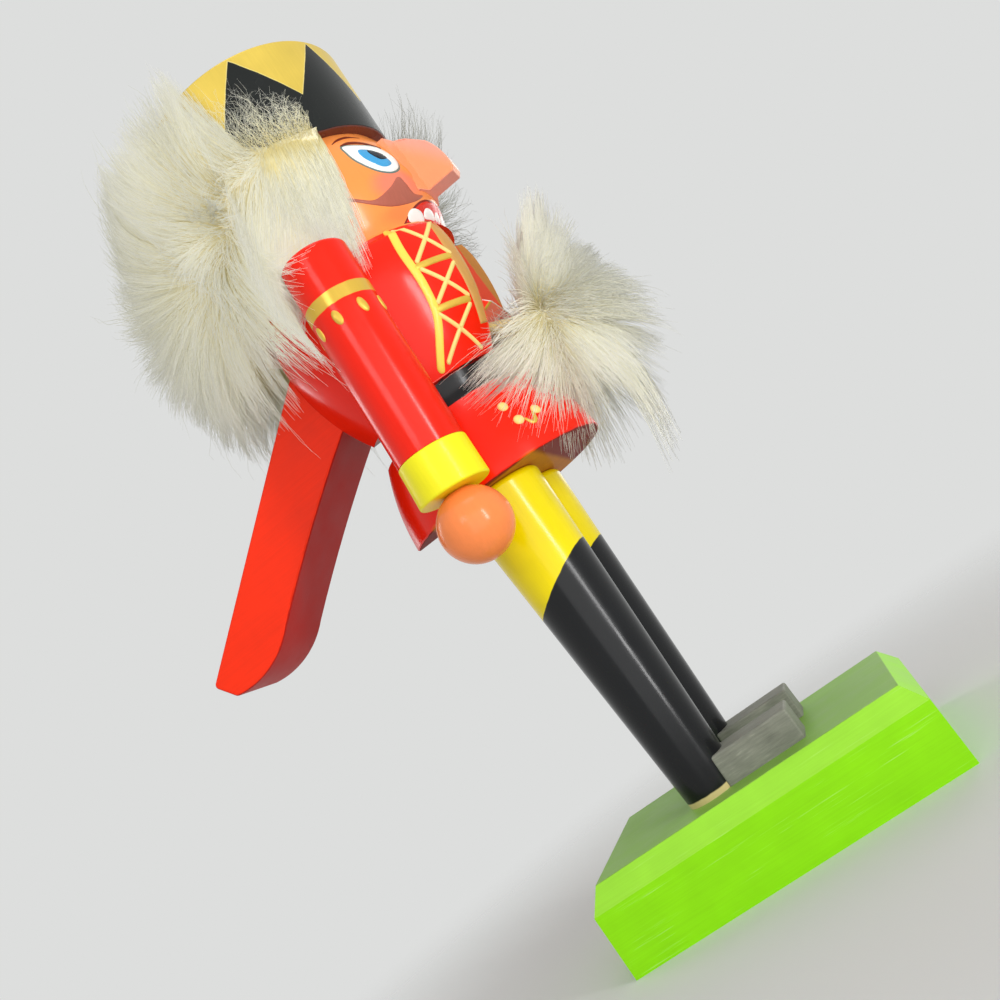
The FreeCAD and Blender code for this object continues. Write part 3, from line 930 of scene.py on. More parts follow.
class Coat(Dresser):
    """Red coat with a black belt, laced in front, and the bare head above it."""

    BELT = (149.4, 157.4)
    SKIRT_LOW = 124.9
    SLOT_HALF = 13.5
    LACE_RISE = 0.42
    EDGE_RISE = 0.25
    GROUND_R = 33.0
    SKIRT_R = 31.0
    LACE_WIDTH = 1.35
    BAR_WIDTH = 2.0
    EDGE_WIDTH = 2.5

    def dress(self) -> None:
        """Paints the turning and lays its marks."""
        chest = Slab(UP, low=158.0, high=199.5)
        under = Slab(UP, high=self.SKIRT_LOW)
        # Gloss enamel over the lathe's fine rings: skin above the collar, black on the belt
        self.finish(PaintedWood(
            "gloss coat and face enamel", "#F61F02", streak=0.04, roughness=0.22,
            zones=(
                Zone("#19191A", (Slab(UP, *self.BELT),), soft=0.1),
                # Painted shade: the skirt's underside is painted dark red
                Zone("#7E1408", (under,), soft=0.1, matt=0.6),
                # The trousers' yellow round the legs under the skirt, darkened to orange as painted shade
                Zone("#E0960C", (under, Slab(ASIDE, -29.0, 29.0), Slab(BACK, -8.0, 28.0)), soft=1.2,
                     matt=0.6),
                # Painted light: the slot's walls are painted a lighter salmon red
                *both_sides("#F4654A", 13.0, 14.0, chest, Slab(BACK, high=8.0), soft=0.3),
                # The gold edge inside the slot, the same darker bronze, partly painted shade
                *both_sides("#CF9A52", 13.0, 14.0, chest, Slab(BACK, high=-20.3)),
                Zone("#FF9A4E", (Slab(UP, low=NECK_Z),)),
                Blush("#FF8070", (15.5, -20.0, 213.0), (9.5, 9.0, 5.2), strength=0.75, edge=0.4),
                Blush("#FF7A48", (19.0, -17.0, 204.5), (6.0, 7.0, 2.2), strength=0.45, edge=0.6),
            ),
        ), "body")
        self.lace()
        self.trim()

    def lace(self) -> None:
        """Lays the crossed laces, bars and gold edges on both halves of the chest."""
        painter = Painter("coat", Body.FIGURE, "coat_paint")
        crosses = (
            ((47.7, 200.0), (30.1, 186.7)), ((27.2, 198.3), (50.2, 187.2)),
            ((50.5, 184.6), (33.8, 173.4)), ((31.8, 183.4), (52.3, 174.5)),
            ((54.9, 171.4), (39.4, 159.3)), ((35.3, 170.8), (63.6, 159.7)),
        )
        bars = (((51.7, 185.7), (31.1, 185.9)), ((54.0, 172.8), (34.6, 172.4)))
        outer_edge = ((50.8, 200.2), (53.8, 192.0), (54.1, 180.0), (57.3, 170.3), (69.5, 159.3))
        for side in Side:
            ground = TurnedGround(self.nodes["body"], self.GROUND_R, side)
            for line in crosses:
                painter.stroke(ground, CREAM_ENAMEL, line, (self.LACE_WIDTH,), self.LACE_RISE)
            for line in bars:
                painter.stroke(ground, GOLD_BRONZE, line, (self.BAR_WIDTH,), self.EDGE_RISE)
            painter.stroke(ground, BRIGHT_GOLD, outer_edge, (self.EDGE_WIDTH,), self.EDGE_RISE)
            # The band beside the slot is painted darker, partly as painted shade
            painter.panel(ground, DULL_BRONZE_AND_SHADE, self.slot_edge(), self.EDGE_RISE)
        painter.finish()

    def slot_edge(self) -> list[Place]:
        """Draws the gold band beside the slot, from its waving border to the sawn edge."""
        border = [(28.8, 198.4), (29.9, 195.5), (31.1, 190.6), (31.6, 185.0), (31.4, 178.0), (32.0, 171.5),
                  (33.6, 164.9)]
        radii = ((164.9, 29.6), (171.5, 31.9), (178.0, 33.6), (185.0, 34.5), (190.6, 34.6), (195.5, 33.4),
                 (198.4, 31.6))
        return border + [(math.degrees(math.asin((self.SLOT_HALF + 0.35) / radius)), height)
                         for height, radius in radii]

    def trim(self) -> None:
        """Lays the small gold dots and leaf on the skirt."""
        painter = Painter("skirt", Body.FIGURE, "coat_paint")
        leaf = ((44.6, 134.4), (46.0, 132.4), (48.4, 132.0), (50.4, 133.8))
        for side in Side:
            ground = TurnedGround(self.nodes["body"], self.SKIRT_R, side)
            for angle, height in ((55.4, 140.3), (53.6, 134.6), (41.6, 135.0)):
                dot = [(angle + aside, height + up) for aside, up in oval(2.9, 1.5)]
                painter.blob(ground, CREAM_ENAMEL, dot, 0.5, rim=0.45)
            painter.stroke(ground, GOLD_BRONZE, leaf, (0.9, 1.3, 1.3, 0.8), self.EDGE_RISE)
        painter.finish()


class Face(Dresser):
    """Painted face: wide blue eyes, brows, moustache, and the mouth's arch with six teeth."""

    FILM = 0.12
    GROUND_R = 33.8

    def dress(self) -> None:
        """Paints both halves of the face."""
        painter = Painter("face", Body.FIGURE, "coat_paint")
        for side in Side:
            ground = TurnedGround(self.nodes["body"], self.GROUND_R, side)
            self.eye(painter, ground)
            self.moustache(painter, ground)
            self.mouth(painter, ground)
        painter.finish()

    def eye(self, painter: Painter, ground: Ground) -> None:
        """Paints one eye with its brow and lid line.

        Args:
            painter: Collects the films.
            ground: The face on one side.
        """
        outline = ((43.6, 230.4), (33.0, 229.6), (22.0, 228.0), (16.4, 223.2), (20.0, 218.5),
                   (28.5, 216.6), (37.3, 218.1), (43.8, 222.8), (45.1, 227.3))
        white = ((43.0, 230.0), (33.0, 229.2), (22.0, 227.6), (17.0, 223.2), (20.5, 219.0),
                 (28.5, 217.1), (37.0, 218.6), (43.0, 223.0), (44.3, 227.2))
        iris = ((37.4, 227.1), (28.5, 225.8), (24.2, 222.4), (24.6, 220.0), (32.0, 219.2), (38.3, 223.2))
        pupil = ((32.2, 226.5), (25.7, 224.6), (24.4, 222.4), (30.0, 222.1), (33.0, 224.8))
        brow = ((46.4, 232.2), (41.5, 233.4), (34.0, 234.0), (26.0, 233.2))
        lid = ((43.4, 230.5), (38.0, 230.9), (29.5, 229.9), (20.3, 227.4))
        painter.blob(ground, EYE_LINE, outline, self.FILM * 0.8, rim=0.15)
        painter.blob(ground, EYE_WHITE, white, self.FILM * 1.6, rim=0.2)
        painter.blob(ground, IRIS_BLUE, iris, self.FILM * 2.2, rim=0.12)
        painter.blob(ground, PUPIL_DARK, pupil, self.FILM * 2.8, rim=0.12)
        painter.stroke(ground, BROW_BROWN, brow, (0.25, 0.9, 1.05, 0.25), self.FILM)
        painter.stroke(ground, BROW_BROWN, lid, (0.4, 1.1, 0.9, 0.2), self.FILM * 2.4)

    def moustache(self, painter: Painter, ground: Ground) -> None:
        """Paints one half of the moustache, thick by the nose and thin at its curled-up end."""
        half = ((64.5, 215.6), (54.5, 211.6), (47.0, 210.0), (36.0, 212.1), (26.5, 215.3), (23.8, 213.0),
                (21.0, 209.7), (13.6, 209.2), (23.5, 207.1), (38.0, 206.6), (49.0, 208.6), (60.5, 212.8))
        painter.blob(ground, MOUSTACHE_BROWN, half, self.FILM * 1.4, rim=0.2)

    def mouth(self, painter: Painter, ground: Ground) -> None:
        """Paints one half of the mouth's arch with its three teeth.

        Args:
            painter: Collects the films.
            ground: The face on one side.
        """
        arch = ((37.3, 201.6), (32.6, 203.4), (28.9, 204.8), (24.0, 206.2), (18.7, 207.4), (12.6, 208.2),
                (6.0, 208.5), (0.0, 208.5), (0.0, 201.4))
        inner = ((36.2, 201.7), (32.0, 203.0), (28.5, 204.2), (23.8, 205.6), (18.7, 206.8), (12.6, 207.6),
                 (6.0, 207.9), (0.0, 207.9), (0.0, 201.4))
        teeth = ((32.6, 20.3, 201.7, 205.2), (19.4, 8.5, 202.2, 205.5), (7.6, 0.6, 202.3, 205.2))
        painter.panel(ground, MOUTH_DARK, arch, self.FILM * 0.8, rim=0.12)
        painter.panel(ground, MOUTH_RED, inner, self.FILM * 1.5, rim=0.15)
        for left, right, low, top in teeth:
            width = left - right
            tall = top - low
            tooth = ((left, low), (left, low + 0.5 * tall), (left - 0.28 * width, top - 0.25),
                     (left - 0.6 * width, top), (right + 0.06 * width, low + 0.68 * tall), (right, low),
                     ((left + right) / 2, low - 0.15))
            painter.blob(ground, TOOTH_WHITE, tooth, self.FILM * 3.0, rim=0.3)


class Nose(Dresser):
    """Quarter-round nose block, pink in front and orange where it meets the face."""

    def dress(self) -> None:
        """Paints the block."""
        # Satin paint brushed up from the skin colour to pink
        self.finish(PaintedWood(
            "satin nose paint on cut beech", "#FF9F6C", fibre=0.5, fibre_length=9.0, relief=0.02,
            roughness=0.33,
            zones=(
                Zone("#FFA892", (Slab((0, -0.82, 0.57), low=151.5),), soft=3.0),
                # Partly painted light: the cut end below is painted a paler pink
                Zone("#FFA88E", (Slab(UP, high=211.2),), soft=0.1),
            ),
        ), "nose")


class Hat(Dresser):
    """Black hat with a crown of gold points round its rim."""

    TIP_Z = 249.7
    NOTCH_Z = 268.0
    POINTS = 8

    def dress(self) -> None:
        """Paints the hat."""
        # Gloss black enamel with flat bronze paint over it, its cut edge a shade lighter
        self.finish(PaintedWood(
            "gloss hat enamel and bronze paint", "#1A1D1C", streak=0.06, relief=0.014, roughness=0.26,
            wobble=0.12,
            zones=(
                CrownZone("#F2DE8C", self.TIP_Z, self.NOTCH_Z, self.POINTS, drop=0.35, metal=0.1),
                CrownZone("#E4C656", self.TIP_Z, self.NOTCH_Z, self.POINTS, metal=0.3),
                Zone("#6B3A30", (Slab(UP, high=BRIM_Z + 0.25),)),
            ),
        ), "hat")


class Arms(Dresser):
    """Dowel arms with a gold band and studs, yellow cuffs and ball hands."""

    BAND = (13.7, 17.4)
    STUD_DROP = 21.2
    STUDS = 8
    FIRST_STUD = 45.0

    def dress(self) -> None:
        """Paints both arms, cuffs and hands, and lays the studs."""
        down = (0.0, math.sin(ARM_LEAN), -math.cos(ARM_LEAN))
        top = ARM_TOP_Y * down[1] + ARM_TOP_Z * down[2]
        # Gloss enamel on straight dowel, which mirrors the light in one long streak
        self.finish(PaintedWood(
            "gloss red enamel on dowel", "#F61F02", streak=0.04, roughness=0.19,
            zones=(Zone("#E2B948", (Slab(down, top + self.BAND[0], top + self.BAND[1]),), metal=0.3),),
        ), "right_arm", "left_arm")
        # Satin yellow, thin enough for the dowel's fibres to show
        self.finish(PaintedWood(
            "satin yellow paint", "#FAF01C", streak=0.06, relief=0.02, roughness=0.4,
            bare="#D6C83A", bare_share=0.2,
        ), "right_cuff", "left_cuff")
        # Gloss skin colour over a turned ball, with a small round highlight
        self.finish(PaintedWood(
            "gloss skin enamel on a ball", "#FF8E4E", streak=0.06, relief=0.02, roughness=0.22, fibre=1.2,
            fibre_length=5.0,
        ), "right_hand", "left_hand")
        for side in Side:
            self.stud(side)

    def stud(self, side: Side) -> None:
        """Lays the small gold ovals under one arm's band."""
        name = side.name.lower() + "_arm"
        painter = Painter(name, Body.FIGURE, "arm_paint")
        ground = ArmGround(self.nodes[name], side)
        for number in range(self.STUDS):
            middle = self.FIRST_STUD + number * 360 / self.STUDS
            ring = [(middle + (wide - 0.12 * tall) / ground.per_degree, self.STUD_DROP + tall)
                    for wide, tall in oval(1.25, 2.3)]
            painter.blob(ground, GOLD_BRONZE, ring, 0.3, rim=0.35)
        painter.finish()


class Jaw(Dresser):
    """Lever that is jaw in front and handle behind, with its pivot pin."""

    CHIN_OUT = 154.95
    LIP_OUT = 132.52

    def dress(self) -> None:
        """Paints the lever and finishes its pin."""
        chin = Slab((0, -0.3038, -0.9527), low=-self.CHIN_OUT - 0.35)
        # Satin red brushed on a sawn board, darker off its two sides, white on the lip's bevel
        self.finish(PaintedWood(
            "satin red paint on a sawn board", "#B81004", grain=Grain.Y, fibre=0.6, fibre_length=20.0,
            streak=0.06, relief=0.02, roughness=0.5, coat=0.0, wobble=0.1,
            zones=(
                # Partly painted shade: every face but the two sides keeps the darker red
                *both_sides("#FB3006", 12.75, None),
                # Painted sheen: the red chin is painted a bright pink
                Zone("#FF8672", (chin, Slab(BACK, high=-5.0)), soft=0.15),
                *both_sides("#DDBD4A", 11.7, None, chin, Slab(BACK, high=-14.5), metal=0.4),
                Zone("#F6EFE8", (Slab((0, -0.724, 0.690), low=self.LIP_OUT - 0.3),), soft=0.1),
            ),
        ), "lever")
        self.finish(DrawnSteel(), "pivot_pin")


class Dowels(Dresser):
    """Hidden beech dowels that join the pieces."""

    def dress(self) -> None:
        """Leaves every dowel as bare beech."""
        self.finish(BareBeech(), *(name for name in self.nodes if name.endswith("_dowel")))


# Fur


@dataclass
class Lay:
    """How a hair lies: its root, the point that it heads for, its tip, and the way that its coat faces."""

    root: Vector
    heading: Vector
    tip: Vector
    facing: Vector

    @property
    def rise(self) -> Vector:
        """Part of the hair's path that grows with the distance along it."""
        return 2 * (self.heading - self.root)

    @property
    def bend(self) -> Vector:
        """Part of the hair's path that grows with the square of the distance along it."""
        return self.root - 2 * self.heading + self.tip


@dataclass
class Batch:
    """One batch of hairs on a patch of skin; tuft, frizz and thickness are in millimetres."""

    name: str
    rows: list[list[Lay]]
    hairs: int
    seed: int
    tuft: float = 3.0
    shortest: float = 0.4
    longest: float = 1.14
    pull: float = 0.5
    frizz: float = 2.6
    waves: float = 2.2
    thickness: float = 0.2
    stations: int = 6


class HairTree(Graph):
    """Geometry Nodes tree that grows hairs from a patch of skin along the skin's own lay."""

    INPUTS = ("Hairs per square metre", "Tufts per square metre", "Shortest", "Longest", "Pull", "Frizz",
              "Waves", "Thickness", "Stations", "Seed", "Hair")
    KINDS = {"Stations": "Int", "Seed": "Int", "Hair": "Material"}
    SCRATCH = ("root", "rise", "bend", "tuft_root", "tuft_rise", "tuft_bend", "reach", "loose", "whim")
    QUICK_SHARE = 0.3

    def __init__(self) -> None:
        """Builds the tree once."""
        super().__init__(bpy.data.node_groups.new("grow hairs", "GeometryNodeTree"))
        face = self.tree.interface
        face.new_socket("Skin", in_out="INPUT", socket_type="NodeSocketGeometry")
        self.keys: dict[str, str] = {}
        for name in self.INPUTS:
            kind = "NodeSocket" + self.KINDS.get(name, "Float")
            self.keys[name] = face.new_socket(name, in_out="INPUT", socket_type=kind).identifier
        face.new_socket("Hairs", in_out="OUTPUT", socket_type="NodeSocketGeometry")
        self.given = self.node("NodeGroupInput").outputs
        self.along = self.get("GeometryNodeSplineParameter", out="Factor")
        self.node("NodeGroupOutput", {0: self.thicken(self.draw(self.scatter()))})

    def named(self, name: str, kind: str = "FLOAT_VECTOR") -> Socket:
        """Reads a named attribute of the hairs."""
        return self.get("GeometryNodeInputNamedAttribute", {"Name": name}, data_type=kind)

    def store(self, stream: Socket, name: str, value: Socket, kind: str = "FLOAT_VECTOR") -> Socket:
        """Stores a value on the points of a stream and returns the stream."""
        return self.get("GeometryNodeStoreNamedAttribute", {"Geometry": stream, "Name": name, "Value": value},
                        data_type=kind, domain="POINT")

    def path(self, prefix: str, reach: Socket) -> Socket:
        """Builds root + rise * reach + bend * reach squared from attributes of one prefix."""
        bend = self.scaled(self.named(prefix + "bend"), reach)
        slope = self.vector("ADD", bend, self.named(prefix + "rise"))
        return self.vector("ADD", self.scaled(slope, reach), self.named(prefix + "root"))

    def scatter(self) -> Socket:
        """Scatters the roots, and gives each its tuft's lay and its own random numbers.

        Returns:
            The roots.
        """
        here = self.get("GeometryNodeInputPosition")
        roots, tufts = (self.get("GeometryNodeDistributePointsOnFaces", {
            "Mesh": self.given["Skin"], "Density": self.given[name + " per square metre"],
            "Seed": self.given["Seed"]}) for name in ("Hairs", "Tufts"))
        nearest = self.get("GeometryNodeSampleNearest", {"Geometry": tufts}, domain="POINT")
        roots = self.store(roots, "root", here)
        for name, value in (("root", here), ("rise", self.named("rise")), ("bend", self.named("bend"))):
            sample = self.get("GeometryNodeSampleIndex", {
                "Geometry": tufts, "Value": value, "Index": nearest,
            }, data_type="FLOAT_VECTOR", domain="POINT")
            roots = self.store(roots, "tuft_" + name, sample)
        for offset, (name, low, high) in enumerate((
                ("reach", self.given["Shortest"], self.given["Longest"]), ("tint", 0.0, 1.0),
                ("loose", 0.25, 1.0))):
            seed = self.math("ADD", self.given["Seed"], 11.0 + offset)
            value = self.get("FunctionNodeRandomValue", {2: low, 3: high, "Seed": seed}, 1, data_type="FLOAT")
            roots = self.store(roots, name, value, "FLOAT")
        whim = self.get("FunctionNodeRandomValue", {
            0: (-50.0,) * 3, 1: (50.0,) * 3, "Seed": self.given["Seed"]}, data_type="FLOAT_VECTOR")
        return self.store(roots, "whim", whim)

    def draw(self, roots: Socket) -> Socket:
        """Draws a hair on each root, pulled towards its tuft and frizzy towards its tip.

        Args:
            roots: The roots with their lay.

        Returns:
            The hairs as curves.
        """
        line = self.get("GeometryNodeCurvePrimitiveLine", {"End": (0.0, 0.0, 1.0)})
        line = self.get("GeometryNodeResampleCurve", {"Curve": line, "Count": self.given["Stations"]})
        hairs = self.get("GeometryNodeInstanceOnPoints", {"Points": roots, "Instance": line})
        hairs = self.get("GeometryNodeRealizeInstances", {0: hairs})
        reach = self.math("MULTIPLY", self.along, self.named("reach", "FLOAT"))
        grip = self.math("MULTIPLY", self.math("POWER", self.along, 1.4), self.named("loose", "FLOAT"))
        grip = self.math("MULTIPLY", grip, self.given["Pull"])
        place = self.mix(grip, self.path("", reach), self.path("tuft_", reach), "VECTOR")
        swing = self.math("MULTIPLY", self.along, self.given["Waves"])
        wave = self.noise(self.vector("ADD", self.named("whim"), swing), out="Color", Detail=1.0)
        wave = self.vector("SUBTRACT", wave, (0.5,) * 3)
        wave = self.scaled(wave, self.math("MULTIPLY", self.along, self.given["Frizz"]))
        hairs = self.get("GeometryNodeSetPosition", {"Geometry": hairs, "Position": place, "Offset": wave})
        return self.store(hairs, "along", self.along, "FLOAT")

    def thicken(self, hairs: Socket) -> Socket:
        """Turns the curves into thin tubes that taper, and drops what only the drawing needed.

        Args:
            hairs: The hairs as curves.

        Returns:
            The hairs as a mesh.
        """
        taper = self.ramp(self.along, 0.35, 1.0, 1.0, 0.25)
        radius = self.math("MULTIPLY", taper, self.given["Thickness"])
        ring = self.get("GeometryNodeCurvePrimitiveCircle", {"Resolution": 3, "Radius": 0.5})
        hairs = self.get("GeometryNodeCurveToMesh", {
            "Curve": hairs, "Profile Curve": ring, "Scale": radius, "Fill Caps": True})
        for name in self.SCRATCH:
            hairs = self.get("GeometryNodeRemoveAttribute", {"Geometry": hairs, "Name": name})
        hairs = self.get("GeometryNodeRealizeInstances", {0: hairs})
        return self.get("GeometryNodeSetMaterial", {0: hairs, "Material": self.given["Hair"]})

    def grow(self, batch: Batch, hair: bpy.types.Material) -> bpy.types.Object:
        """Grows one batch and turns it into a plain mesh.

        Args:
            batch: The hairs to grow.
            hair: Their material.

        Returns:
            Object with the hairs as thin closed tubes.
        """
        width = len(batch.rows[0])
        lays = [lay for row in batch.rows for lay in row]
        faces = [(r * width + c, r * width + c + 1, (r + 1) * width + c + 1, (r + 1) * width + c)
                 for r in range(len(batch.rows) - 1) for c in range(width - 1)]
        skin = make_piece(batch.name + "_skin", ([lay.root for lay in lays], faces), None)
        for name, size in (("rise", MM), ("bend", MM), ("facing", 1.0)):
            parts = [part * size for lay in lays for part in getattr(lay, name)]
            skin.data.attributes.new(name, "FLOAT_VECTOR", "POINT").data.foreach_set("vector", parts)
        area = sum(polygon.area for polygon in skin.data.polygons)
        modifier = skin.modifiers.new("grow hairs", "NODES")
        modifier.node_group = self.tree
        share = 1.0
        values = (batch.hairs * share / area, 1 / (batch.tuft * MM) ** 2, batch.shortest, batch.longest,
                  batch.pull, batch.frizz * MM, batch.waves, batch.thickness * MM / math.sqrt(share),
                  batch.stations, batch.seed, hair)
        for name, value in zip(self.INPUTS, values):
            modifier[self.keys[name]] = value
        graph = bpy.context.evaluated_depsgraph_get()
        mesh = bpy.data.meshes.new_from_object(skin.evaluated_get(graph), depsgraph=graph)
        mesh.name = batch.name
        skin.modifiers.clear()
        bpy.data.objects.remove(skin)
        piece = bpy.data.objects.new(batch.name, mesh)
        bpy.context.scene.collection.objects.link(piece)
        # The underfur casts the fur's shadow, because hard shadows of single hairs would make it grey
        piece.visible_shadow = False
        return piece


def lump(point: Vector, size: float) -> float:
    """Reads a fixed cloud of lumps of one size, from -1 to 1."""
    return noise.noise(point / size)


def outward(points: list[Vector], faces: list[Triangle]) -> Skin:
    """Turns the faces of a closed skin to point outwards, by the sign of its volume."""
    volume = 0.0
    for face in faces:
        for index in range(1, len(face) - 1):
            a, b, c = points[face[0]], points[face[index]], points[face[index + 1]]
            volume += a.dot(b.cross(c))
    return points, faces if volume > 0 else [tuple(reversed(face)) for face in faces]


def closed_grid(rows: Sequence[Sequence[Vector]]) -> Skin:
    """Joins closed rings of as many points each into a closed skin with a fan on each end.

    Args:
        rows: The rings.

    Returns:
        Points, and faces that point outwards.
    """
    width = len(rows[0])
    points = [point for row in rows for point in row]
    faces: list[Triangle] = []
    for r in range(len(rows) - 1):
        for c in range(width):
            d = (c + 1) % width
            faces.append((r * width + c, r * width + d, (r + 1) * width + d, (r + 1) * width + c))
    for row, flip in ((0, True), (len(rows) - 1, False)):
        points.append(sum(rows[row], Vector()) / width)
        for c in range(width):
            face = (row * width + c, row * width + (c + 1) % width, len(points) - 1)
            faces.append(tuple(reversed(face)) if flip else face)
    return outward(points, faces)


@dataclass(frozen=True)
class Pelt:
    """Dense underfur of the wig, a roll round the back and sides of the head, thick behind."""

    low_z: float = 203.0
    foot_z: float = 202.2
    glued_r: float = 34.6
    depth: float = 13.0
    sunk: float = 1.8
    steps: int = 150
    parts: int = 20
    # Degrees from the front edge over which it grows thick, and millimetres over which its crest thins
    thickening: float = 42.0
    crest_slope: float = 14.0
    # Inner side from the brim down, as heights and radii
    lining: Knots = ((236.8, 35.5), (236.0, 34.0), (203.0, 34.0))
    # Degrees from the face to the front edge, by height
    front: Knots = ((201.9, 66.8), (211.1, 69.1), (218.3, 67.1), (226.6, 60.3), (236.5, 51.5))
    # Height of the upper edge by angle, low by the face and high behind the hat
    crest: Knots = ((56, 237.2), (80, 239.0), (100, 249.0), (125, 256.0), (180, 257.0))
    # Share of the full depth, by height
    swell: Knots = ((202.0, 0.35), (206.0, 0.75), (215.0, 1.0))

    def edge_angle(self, z: float) -> float:
        """Angle of the fur's front edge at a height, in degrees from the face."""
        return between(self.front, z)

    def crest_height(self, angle: float) -> float:
        """Height of the underfur's upper edge."""
        return between(self.crest, angle)

    def radius(self, angle: float, z: float) -> float:
        """Radius of the underfur's surface, thin along the face and thick behind it.

        Args:
            angle: Degrees from the face towards a side.
            z: Height.

        Returns:
            Radius in millimetres.
        """
        full = 0.06 + 0.94 * smooth_step(0.0, self.thickening, angle - self.edge_angle(z))
        top = self.crest_height(angle)
        shape = between(self.swell, z)
        shape *= 1 - 0.85 * smooth_step(top - self.crest_slope, top, z)
        return self.glued_r + self.depth * full * shape

    def point(self, along: float, z: float, radius: float | None) -> Vector:
        """Point of the underfur, lumpy where it shows.

        Args:
            along: Share of the way from behind to the front edge, below 0 on the right.
            z: Height.
            radius: Distance from the axis, or none for where the underfur shows.

        Returns:
            Point in millimetres.
        """
        angle = 180 - (180 - self.edge_angle(z)) * abs(along)
        if radius is None:
            reach = max(self.glued_r + 0.1, self.radius(angle, z) - self.sunk)
        else:
            reach = radius
        normal = outward_at(math.radians(math.copysign(angle, along)))
        point = Vector((0, AXIS_Y, z)) + normal * reach
        if radius is None:
            thick = min(1.0, (reach - self.glued_r) / 8.0)
            point += normal * (lump(point, 4.0) * 1.2 + lump(point, 1.8) * 0.7) * thick
        return point

    def skin(self) -> Skin:
        """Makes the closed skin of the roll.

        Returns:
            Points in millimetres, and faces.
        """
        rows = []
        for step in range(self.steps + 1):
            along = -1 + 2 * step / self.steps
            crest = self.crest_height(180 - (180 - self.crest[0][0]) * abs(along))
            row = [self.point(along, self.foot_z + part / self.parts * (crest - self.foot_z), None)
                   for part in range(self.parts + 1)]
            rows.append(row + [self.point(along, z, radius) for z, radius in self.lining])
        return closed_grid(rows)


